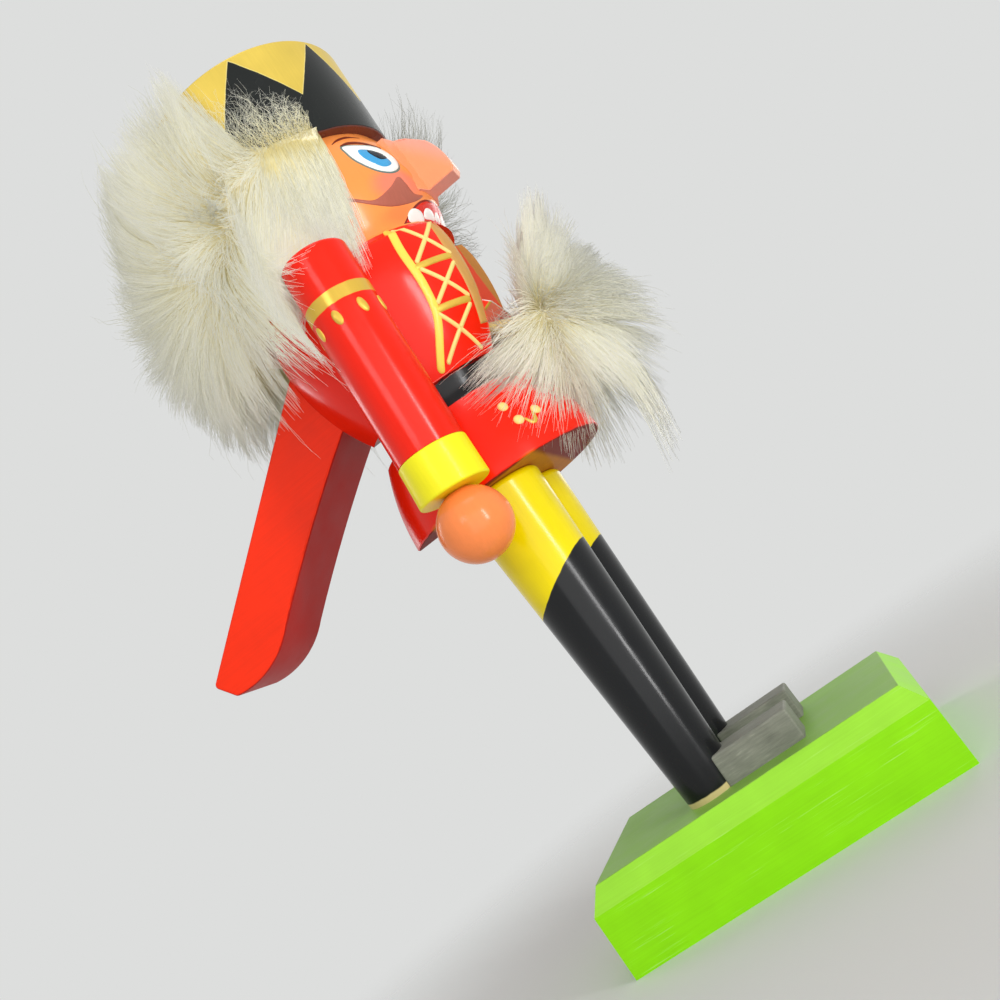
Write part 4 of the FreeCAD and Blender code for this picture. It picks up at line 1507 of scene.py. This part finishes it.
@dataclass
class Wig:
    """Long fur on one side of the head; it fans out from a parting."""

    side: Side
    pelt: Pelt
    first_seed: int
    lift: float = 11.0
    length: float = 36.0
    widest: float = 61.0
    highest: float = 268.0
    clump: float = 5.0
    root_depth: float = 0.6
    # Rows and columns of lays on each patch, and the height of the wig's front edge
    rows: int = 16
    columns: int = 12
    edge_tall: float = 36.0
    # Height of the frizz at the brim by angle, and where its lowest row is rooted
    frizz_tall: Knots = ((55, 7.0), (66, 14.0), (80, 22.0), (99, 26.0))
    frizz_z: float = 235.0
    # Hair combed down in front of this Y on the right is shortened to end near this height
    front_y: float = 14.0
    front_end: float = 192.0
    front_shortest: float = 16.0
    # Upper end of the parting on either side, and its lower end, as Y and Z
    right_parting: Place = (18.0, 227.0)
    left_parting: Place = (7.0, 225.0)
    parting_low: Place = (32.0, 219.0)
    # Space of the arm, which hair goes behind or over, and of the lever
    arm_top: float = 201.8
    arm_in: float = 31.5
    shoulder_in: float = 35.5
    arm_front: float = 4.0
    arm_back: float = 20.0
    behind_arm: float = 20.6
    lever_top: float = 193.0
    lever_side: float = 15.5
    # Radius of the head and hat by height, which hair stays out of
    head: Knots = ((160, 29.0), (172, 33.5), (189, 36.2), (199, 35.0), (204, 34.6), (217, 36.0), (236, 34.6),
                   (240, 35.5), (268, 36.5), (275, 30.0))
    # Farthest that hair tips stand from the axis by height, behind it and in front of it on either side
    far_behind: Knots = ((160, 44), (170, 48), (180, 54), (192, 61), (211, 66), (231, 65), (245, 58),
                         (252, 54), (265, 47), (279, 43))
    far_right: Knots = ((186, 38.5), (217, 39.0), (236, 38.0), (260, 38.0))
    far_left: Knots = ((190, 47), (199, 50), (217, 54), (236, 59), (247, 60), (259, 54), (268, 46))

    def reach(self, z: float, back: float) -> float:
        """Farthest that hair tips stand from the axis.

        Args:
            z: Height.
            back: 1 straight behind the axis, 0 straight aside, -1 in front.

        Returns:
            Radius in millimetres.
        """
        behind = between(self.far_behind, z)
        aside = min(behind, self.widest)
        if back >= 0:
            return aside + (behind - aside) * back
        front = between(self.far_right if self.side is Side.RIGHT else self.far_left, z)
        return aside + (front - aside) * min(1.0, -back / 0.6)

    def flow(self, y: float, z: float) -> Vector:
        """Direction that the hair lies in, seen from the side, shorter close to the parting.

        Args:
            y: Place of the root from front to back.
            z: Its height.

        Returns:
            Vector in Y and Z of length 0 to 1.
        """
        here = Vector((y, z))
        top = Vector(self.right_parting if self.side is Side.RIGHT else self.left_parting)
        run = Vector(self.parting_low) - top
        part = min(1.0, max(0.0, (here - top).dot(run) / run.length_squared))
        away = here - (top + run * part)
        fan = away.normalized() * smooth_step(0.0, 9.0, away.length) if away.length > 1e-6 else Vector((0, 0))
        if self.side is Side.LEFT:
            return fan
        down, up = Vector((0.22, -1.0)), Vector((0.12, 1.0))
        combed = down.lerp(up, smooth_step(228.0, 234.0, z) * smooth_step(1.0, 8.0, y))
        return fan.lerp(combed, smooth_step(19.0, 9.0, y))

    def clear(self, point: Vector) -> Vector:
        """Moves a point of a hair out of the head, hat, coat, arm and lever.

        Args:
            point: Point of a hair.

        Returns:
            The point, moved where it must.
        """
        x, y, z = point.x * self.side.value, point.y, point.z
        if z < self.arm_top and y < self.arm_back and x > self.arm_in:
            if y > self.arm_front:
                y = self.behind_arm
            elif x > self.shoulder_in:
                z = self.arm_top
        if z < self.lever_top and x < self.lever_side and y > self.arm_back:
            x = self.lever_side
        wave = lump(point, self.clump)
        z = min(z, self.highest + 5.0 * wave)
        radius = math.hypot(x, y - AXIS_Y)
        least = between(self.head, z)
        angle = math.degrees(math.atan2(x, AXIS_Y - y))
        if self.pelt.low_z < z < self.pelt.crest_height(angle) and angle > self.pelt.edge_angle(z):
            least = self.pelt.radius(angle, z) + 1.0
        if radius > 0:
            most = self.reach(z, (y - AXIS_Y) / radius) * (0.94 + 0.12 * wave)
            most += 0.25 * max(0.0, radius - most) if y > AXIS_Y else 0.0
            scale = max(least, min(most, radius)) / radius
            x, y = x * scale, AXIS_Y + (y - AXIS_Y) * scale
        return Vector((x * self.side.value, y, z))

    def lay(self, angle: float, share: float) -> Lay:
        """Works out how the hair lies that is rooted at an angle and height.

        Args:
            angle: Degrees from the face towards the side.
            share: 0 at the wig's lower edge to 1 at its upper edge.

        Returns:
            The lay of that hair.
        """
        z = self.pelt.low_z + (self.pelt.crest_height(angle) - 0.3 - self.pelt.low_z) * share
        normal = outward_at(self.side.value * math.radians(angle))
        root = Vector((0, AXIS_Y, z)) + normal * (self.pelt.radius(angle, z) - self.root_depth)
        inward = angle - self.pelt.edge_angle(z)
        flow = self.flow(root.y, z)
        push = Vector((0, flow.x, flow.y))
        into = push.dot(normal)
        if into < 0:
            push -= normal * into
        length = self.length * (1 - 0.15 * abs(flow.y))
        if self.side is Side.RIGHT:
            lift = self.lift * (0.16 + 0.84 * smooth_step(0.0, 40.0, inward))
            if root.y < self.front_y and flow.y < 0:
                length = min(length, max(self.front_shortest, z - self.front_end))
        else:
            lift = self.lift * (1.5 - 0.5 * smooth_step(0.0, 30.0, inward))
        lift *= 1 - 0.3 * smooth_step(230.0, 245.0, z)
        astray = 1 - flow.length
        lift *= 1 + 0.3 * astray
        bend = noise.noise(Vector((angle / 7.0, z / 6.0, 3.0 * self.side.value)))
        swirl = noise.noise(Vector((angle / 9.0, z / 8.0, 9.0 + self.side.value)))
        tip = root + push * length * (1 + 0.12 * bend) + normal * lift * (1 + 0.3 * swirl)
        loose = smooth_step(0.0, 25.0, inward)
        tip += Vector((0, swirl, bend)) * (6.0 * (0.3 + 0.7 * loose) + 14.0 * astray)
        heading = root + normal * (lift * 0.75 + 1.6) + push * length * 0.34
        heading.z -= 1.0
        return Lay(root, self.clear(heading), self.clear(tip), normal)

    def patch(self, first: float, last: float) -> list[list[Lay]]:
        """Lays out the skin between two shares of the way from the hair's front edge to the back."""
        rows = []
        for row in range(self.rows + 1):
            share = row / self.rows
            edge = self.pelt.edge_angle(self.pelt.low_z + self.edge_tall * share)
            ways = [first + (last - first) * column / self.columns for column in range(self.columns + 1)]
            rows.append([self.lay(edge + (180 - edge) * way, share) for way in ways])
        return rows

    def batches(self) -> list[Batch]:
        """Lists four batches from front to back, the frizz at the brim and the stray long hairs."""
        prefix = f"hair_{self.side.name.lower()}_"
        result = []
        for number, (name, first, last) in enumerate((
                ("front", 0.0, 0.22), ("side", 0.22, 0.46), ("rear", 0.46, 0.72), ("back", 0.72, 1.0))):
            batch = Batch(prefix + name, self.patch(first, last), 5400, self.first_seed + number)
            if name in ("rear", "back"):
                batch.tuft, batch.pull = 3.8, 0.7
            if self.side is Side.LEFT and name == "front":
                batch = Batch(batch.name, batch.rows, 3600, batch.seed, shortest=0.3, pull=0.25, frizz=9.0,
                              waves=3.2, thickness=0.17, stations=9)
            result.append(batch)
        result.append(Batch(prefix + "frizz", self.brim(), 330, self.first_seed + 43, tuft=6.0, shortest=0.1,
                            longest=1.1, pull=0.1, frizz=15.0, waves=4.0, thickness=0.12, stations=12))
        result.append(Batch(prefix + "stray", self.patch(0.3, 1.0), 170, self.first_seed + 63, shortest=0.95,
                            longest=1.45, pull=0.0, frizz=11.0, waves=1.2, stations=10))
        return result

    def brim(self) -> list[list[Lay]]:
        """Lays out the fine curly hair that stands up over the hat's brim."""
        rows = []
        first, last = self.frizz_tall[0][0], self.frizz_tall[-1][0]
        for row in range(3):
            line = []
            for column in range(self.columns + 1):
                angle = first + (last - first) * column / self.columns
                normal = outward_at(self.side.value * math.radians(angle))
                root = Vector((0, AXIS_Y, self.frizz_z + row)) + normal * (self.pelt.glued_r + 0.6 * row)
                tall = between(self.frizz_tall, angle)
                tip = root + Vector((0, 1.5, tall)) + normal * 6.0
                line.append(Lay(root, root + normal * 6.5 + Vector((0, 0, tall * 0.35)), tip, normal))
            rows.append(line)
        return rows


def build_wig(tree: HairTree, under: bpy.types.Material) -> None:
    """Builds the wig's underfur, which stands for the CAD wig, and all its hair."""
    pelt = Pelt()
    roll = settle(make_piece("hair_underfur", pelt.skin(), under), Body.FIGURE)
    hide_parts("hair_fur")
    hair = RabbitFur("long rabbit hair").build()
    for side, first_seed in ((Side.RIGHT, 4), (Side.LEFT, 8)):
        for batch in Wig(side, pelt, first_seed).batches():
            settle(tree.grow(batch, hair), Body.FIGURE)


@dataclass
class Beard:
    """Piece of the same fur glued under the chin; it fans out forwards, up and down over the skirt."""

    middle: Spot = (0.0, -31.5, 159.5)
    half: Spot = (12.0, 8.0, 11.0)
    lean: float = math.radians(24.0)
    front_limit: float = -64.5
    # Degrees between the egg's middle and its two ends, and its rings and the points of each
    last_tilt: float = 88.0
    rings: int = 24
    ring_points: int = 48
    # Direction to the face, the room for hair that way, and the height over which it is kept free
    towards_face: Spot = (0.0, 0.719, 0.695)
    face_room: float = 8.0
    face_low: float = 164.0
    # Direction that the nose presses in, and for each pressed piece where the press starts and what it keeps
    press: Spot = (0.0, -0.695, 0.719)
    presses: tuple[tuple[str, float, float], ...] = (
        ("beard_underfur", -10.3, 0.75), ("beard_upper", 7.5, 0.17), ("beard_front", 4.0, 0.4),
        ("beard_stray", 5.0, 0.2))
    # Radius of the coat by height, and length of the hair by the direction that it points in
    coat: Knots = ((118, 5.0), (123.5, 33.8), (137, 32.5), (149, 29.0), (158, 28.5), (171, 33.5), (189, 36.5),
                   (200, 36.0), (206, 36.0))
    lengths: Knots = ((-180, 24), (-150, 32), (-115, 34), (-90, 27), (-60, 27), (-27, 20), (0, 13), (27, 13),
                      (45, 21), (58, 25))

    def skin_point(self, turn: float, tilt: float) -> Vector:
        """Point of the beard's skin, an egg that hangs from the chin.

        Args:
            turn: Degrees round the egg's axis, 0 towards the front.
            tilt: Degrees from its lower end, -90, to its upper end, 90.

        Returns:
            Point in millimetres.
        """
        a, b = math.radians(turn), math.radians(tilt)
        local = Vector((self.half[0] * math.sin(a) * math.cos(b), -self.half[1] * math.cos(a) * math.cos(b),
                        self.half[2] * math.sin(b)))
        return Vector(self.middle) + Matrix.Rotation(self.lean, 3, "X") @ local

    def clear(self, point: Vector) -> Vector:
        """Moves a point of a hair out of the coat, the skirt and the closing mouth's way.

        Args:
            point: Point of a hair.

        Returns:
            The point, moved where it must.
        """
        back = (point - Vector(self.middle)).dot(Vector(self.towards_face)) - self.face_room
        if back > 0 and point.z > self.face_low:
            point = point - Vector(self.towards_face) * back
        x, y, z = point
        radius = math.hypot(x, y - AXIS_Y)
        least = between(self.coat, z)
        if radius < least:
            x, y = x * least / radius, AXIS_Y + (y - AXIS_Y) * least / radius
        return Vector((x, max(y, self.front_limit), z))

    def lay(self, turn: float, tilt: float) -> Lay:
        """Works out how a hair of the beard lies.

        Args:
            turn: Degrees round the egg's axis.
            tilt: Degrees from its lower end to its upper end.

        Returns:
            The lay of that hair.
        """
        root = self.skin_point(turn, tilt)
        lean = Matrix.Rotation(self.lean, 3, "X")
        local = lean.inverted() @ (root - Vector(self.middle))
        facing = (lean @ Vector([part / half ** 2 for part, half in zip(local, self.half)])).normalized()
        way = facing.copy()
        way.x *= 0.6
        way.normalize()
        if way.z > 0:
            way.y = min(way.y, -0.7 * way.z)
        elif way.y > 0:
            way.x += 0.6 * way.y * (1 if root.x > 0 else -1)
        way.normalize()
        length = between(self.lengths, math.degrees(math.atan2(way.z, -way.y)))
        astray = 4.0 * (1 - math.hypot(facing.y, facing.z))
        wave = noise.noise(root / 5.0) * (5.0 + astray)
        curl = noise.noise(root / 4.0 + Vector((30.0, 0.0, 0.0))) * (5.0 + 2 * astray)
        tip = root + way * length + Vector((wave, curl * 0.4, curl))
        heading = root + way * length * 0.5 + Vector((0.0, -2.0, 2.0))
        # Light that spreads through the beard comes mostly from the front and from aside
        glow = Vector((facing.x, facing.y - 0.35, 0.4 * facing.z)).normalized()
        return Lay(root, self.clear(heading), self.clear(tip), glow)

    def batches(self) -> list[Batch]:
        """Lists the upper, front and lower parts of the fan, the stray hairs and the long lock."""
        result = []
        for number, (name, low, high, hairs) in enumerate((
                ("upper", 14.0, self.last_tilt, 4300), ("front", -26.0, 14.0, 4500),
                ("lower", -self.last_tilt, -26.0, 4300))):
            rows = [[self.lay(turn, low + (high - low) * row / 10) for turn in range(-180, 181, 10)]
                    for row in range(11)]
            result.append(Batch(f"beard_{name}", rows, hairs, 70 + number, tuft=3.8, pull=0.6, frizz=3.4))
            if name == "front":
                result.append(Batch("beard_stray", rows, 110, 80, shortest=1.0, longest=1.55, pull=0.0,
                                    frizz=9.0, waves=1.2, stations=10))
        return result + [self.lock()]

    def lock(self) -> Batch:
        """Long lock that hangs from the front of the beard past the skirt."""
        rows = []
        for row in range(4):
            line = []
            for column in range(5):
                root = Vector((-5.5 + 2.6 * column, -33.0 - 1.8 * row, 148.5 + 1.4 * row))
                tip = Vector((root.x * 0.9 + 1.0, -31.0 - 3.6 * row, 103.0 + 2.6 * row))
                heading = root + Vector((0, -8.0, -14.0))
                line.append(Lay(root, heading, tip, Vector((root.x / 6.0, -1.0, 0.0))))
            rows.append(line)
        return Batch("beard_lock", rows, 420, 90, tuft=4.0, pull=0.4, frizz=6.0, shortest=0.3, longest=1.08)

    def pelt(self) -> Skin:
        """Makes the dense underfur, a lumpy egg."""
        rows = []
        for row in range(self.rings + 1):
            ring = []
            for step in range(self.ring_points):
                tilt = -self.last_tilt + 2 * self.last_tilt * row / self.rings
                point = self.skin_point(360 * step / self.ring_points, tilt)
                wave = lump(point, 3.5) * 1.1 + lump(point, 1.6) * 0.6
                ring.append(point + (point - Vector(self.middle)).normalized() * wave)
            rows.append(ring)
        return closed_grid(rows)

    def collar(self) -> Skin:
        """Makes the collar of bare skin that is glued under the chin and widens towards the beard.

        Returns:
            Points in millimetres, and faces.
        """
        rows = []
        depth = Vector((0, -0.3, -0.945)) * 1.4
        for row in range(5):
            share = row / 4
            centre = Vector((0, -13.2, 166.0)).lerp(Vector((0, -25.0, 158.0)), share)
            slant = Vector((0, 0.945, -0.3)).lerp(Vector((0, 0.7, -0.7)), share) * (1 + 0.8 * share)
            ring = []
            for step in range(32):
                turn = math.tau * step / 32
                wide = 10.8 * math.copysign(abs(math.sin(turn)) ** 0.6, math.sin(turn))
                ring.append(centre + Vector((wide, 0, 0)) + slant * 2.6 * math.cos(turn) - depth * 0.4)
            rows.append(ring)
        return closed_grid(rows)

    def build(self, tree: HairTree, under: bpy.types.Material) -> None:
        """Builds the underfur, which stands for the CAD beard, its collar of skin and all its hair.

        Args:
            tree: Grows the hairs.
            under: Material of the underfur.
        """
        hair = RabbitFur("rabbit hair of the beard", passing=0.95).build()
        egg = settle(make_piece("beard_underfur", self.pelt(), under), Body.LEVER)
        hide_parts("beard_fur")
        skin = UnderFur("yellowish skin of the beard", "#F7E08E", "#E4C873").build()
        settle(make_piece("beard_skin", self.collar(), skin), Body.LEVER)
        for batch in self.batches():
            settle(tree.grow(batch, hair), Body.LEVER)
        # Each piece that the nose would press gets a mesh of its own
        for name, height, keep in self.presses:
            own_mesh(bpy.data.objects[name])


# Studio


@dataclass(frozen=True)
class StudioFloor(Finish):
    """Matt pale floor that fades into the background."""

    name: str = "pale studio floor"
    colour: str = "#DCDCDA"
    fade_from: float = 0.10
    fade_to: float = 0.36

    def surface(self, graph: Graph) -> Socket:
        """Draws the floor's colour and its fading rim."""
        reach = graph.vector("LENGTH", graph.get("ShaderNodeTexCoord", out="Object"))
        fade = graph.ramp(reach, self.fade_from, self.fade_to, smooth=True)
        matt = graph.get("ShaderNodeBsdfPrincipled", {"Base Color": linear(self.colour), "Roughness": 0.85})
        clear = graph.get("ShaderNodeBsdfTransparent")
        return graph.get("ShaderNodeMixShader", {0: fade, 1: matt, 2: clear})


@dataclass(frozen=True)
class Lamp:
    """Soft rectangular lamp that looks at the middle of the figure."""

    name: str
    towards: Spot
    distance: float
    width: float
    height: float
    watts: float

    def hang(self, middle: Vector) -> None:
        """Hangs the lamp at its distance from the middle."""
        light = bpy.data.lights.new(self.name, "AREA")
        light.shape = "RECTANGLE"
        light.size = self.width
        light.size_y = self.height
        light.energy = self.watts
        holder = bpy.data.objects.new(self.name, light)
        away = Vector(self.towards).normalized()
        holder.rotation_euler = away.to_track_quat("Z", "Y").to_euler()
        holder.location = middle + away * self.distance
        bpy.context.scene.collection.objects.link(holder)


@dataclass
class Studio:
    """Pale floor, soft lamps and the camera."""

    middle: Spot = (0.0, 0.0, 0.15)
    ambient: float = 0.62
    pale: str = "#DDDEDD"
    floor_r: float = 640.0
    lamps: tuple[Lamp, ...] = (
        Lamp("key", (-0.63, -0.77, -0.02), 0.85, 0.10, 0.45, 3.0),
        Lamp("front", (-0.93, -0.33, -0.12), 1.20, 1.20, 1.20, 5.2),
        Lamp("side", (-0.95, 0.15, 0.35), 0.90, 0.25, 0.25, 0.8),
        Lamp("top", (-0.25, -0.30, 0.92), 0.90, 0.40, 0.40, 1.1),
        Lamp("back", (0.45, 0.85, 0.35), 1.00, 0.45, 0.45, 1.6),
        Lamp("far", (0.90, -0.30, 0.30), 1.00, 0.45, 0.45, 1.2),
    )
    # Where the photograph was taken from, in millimetres, and the picture's own directions
    eye: Spot = (-301.89, -50.33, 74.23)
    right: Spot = (0.25917, -0.77341, -0.57850)
    down: Spot = (0.00678, 0.60041, -0.79967)
    view: Spot = (0.96581, 0.20333, 0.16086)
    lens: float = 37.96

    def floor(self) -> None:
        """Lays a pale disc."""
        turns = [math.tau * step / 64 for step in range(64)]
        points = [Vector((0, 0, 0))]
        points += [Vector((self.floor_r * math.cos(turn), self.floor_r * math.sin(turn), 0))
                   for turn in turns]
        faces = [(0, 1 + step, 1 + (step + 1) % len(turns)) for step in range(len(turns))]
        make_piece("floor", (points, faces), StudioFloor().build(), smooth=False)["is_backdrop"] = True

    def world(self) -> None:
        """Sets an even pale surround, at full strength only where the camera, gloss and glass see it."""
        world = bpy.data.worlds.new("pale surround")
        bpy.context.scene.world = world
        world.use_nodes = True
        graph = Graph(world.node_tree)
        path = graph.node("ShaderNodeLightPath").outputs
        seen = graph.math("MAXIMUM", path["Is Camera Ray"], path["Is Glossy Ray"])
        seen = graph.math("MAXIMUM", seen, path["Is Transmission Ray"])
        sky = graph.get("ShaderNodeBackground", {
            "Color": linear(self.pale), "Strength": graph.ramp(seen, start=self.ambient, end=1.0)})
        graph.node("ShaderNodeOutputWorld", {"Surface": sky})

    def camera(self) -> None:
        """Stands the camera where the photograph was taken from."""
        camera = bpy.data.cameras.new("camera")
        camera.lens = self.lens
        camera.sensor_width = 36.0
        camera.clip_start = 0.01
        camera.clip_end = 20.0
        holder = bpy.data.objects.new("camera", camera)
        turn = Matrix((Vector(self.right), -Vector(self.down), -Vector(self.view))).transposed().to_4x4()
        holder.matrix_world = Matrix.Translation(Vector(self.eye) * MM) @ turn
        bpy.context.scene.collection.objects.link(holder)
        bpy.context.scene.camera = holder

    def build(self) -> None:
        """Builds the floor, surround, lamps and camera."""
        self.floor()
        self.world()
        for lamp in self.lamps:
            lamp.hang(Vector(self.middle))
        self.camera()
        bpy.context.scene.view_settings.view_transform = "Standard"


def bounds_now() -> list[list[float]]:
    """Measures the whole object as two corners in metres."""
    bpy.context.view_layer.update()
    return [list(corner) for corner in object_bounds()]


def main() -> None:
    """Dresses the frame and sets the studio."""
    logging.basicConfig(level=logging.INFO, format="%(message)s")
    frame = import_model()
    cad_box = bounds_now()
    for dresser in (Stand, Legs, Coat, Face, Nose, Hat, Arms, Jaw, Dowels):
        dresser(frame["nodes"]).dress()
    tree = HairTree()
    under = UnderFur().build()
    build_wig(tree, under)
    Beard().build(tree, under)
    Studio().build()
    {"cad": cad_box, "visual": bounds_now()}


if __name__ == "__main__":
    main()
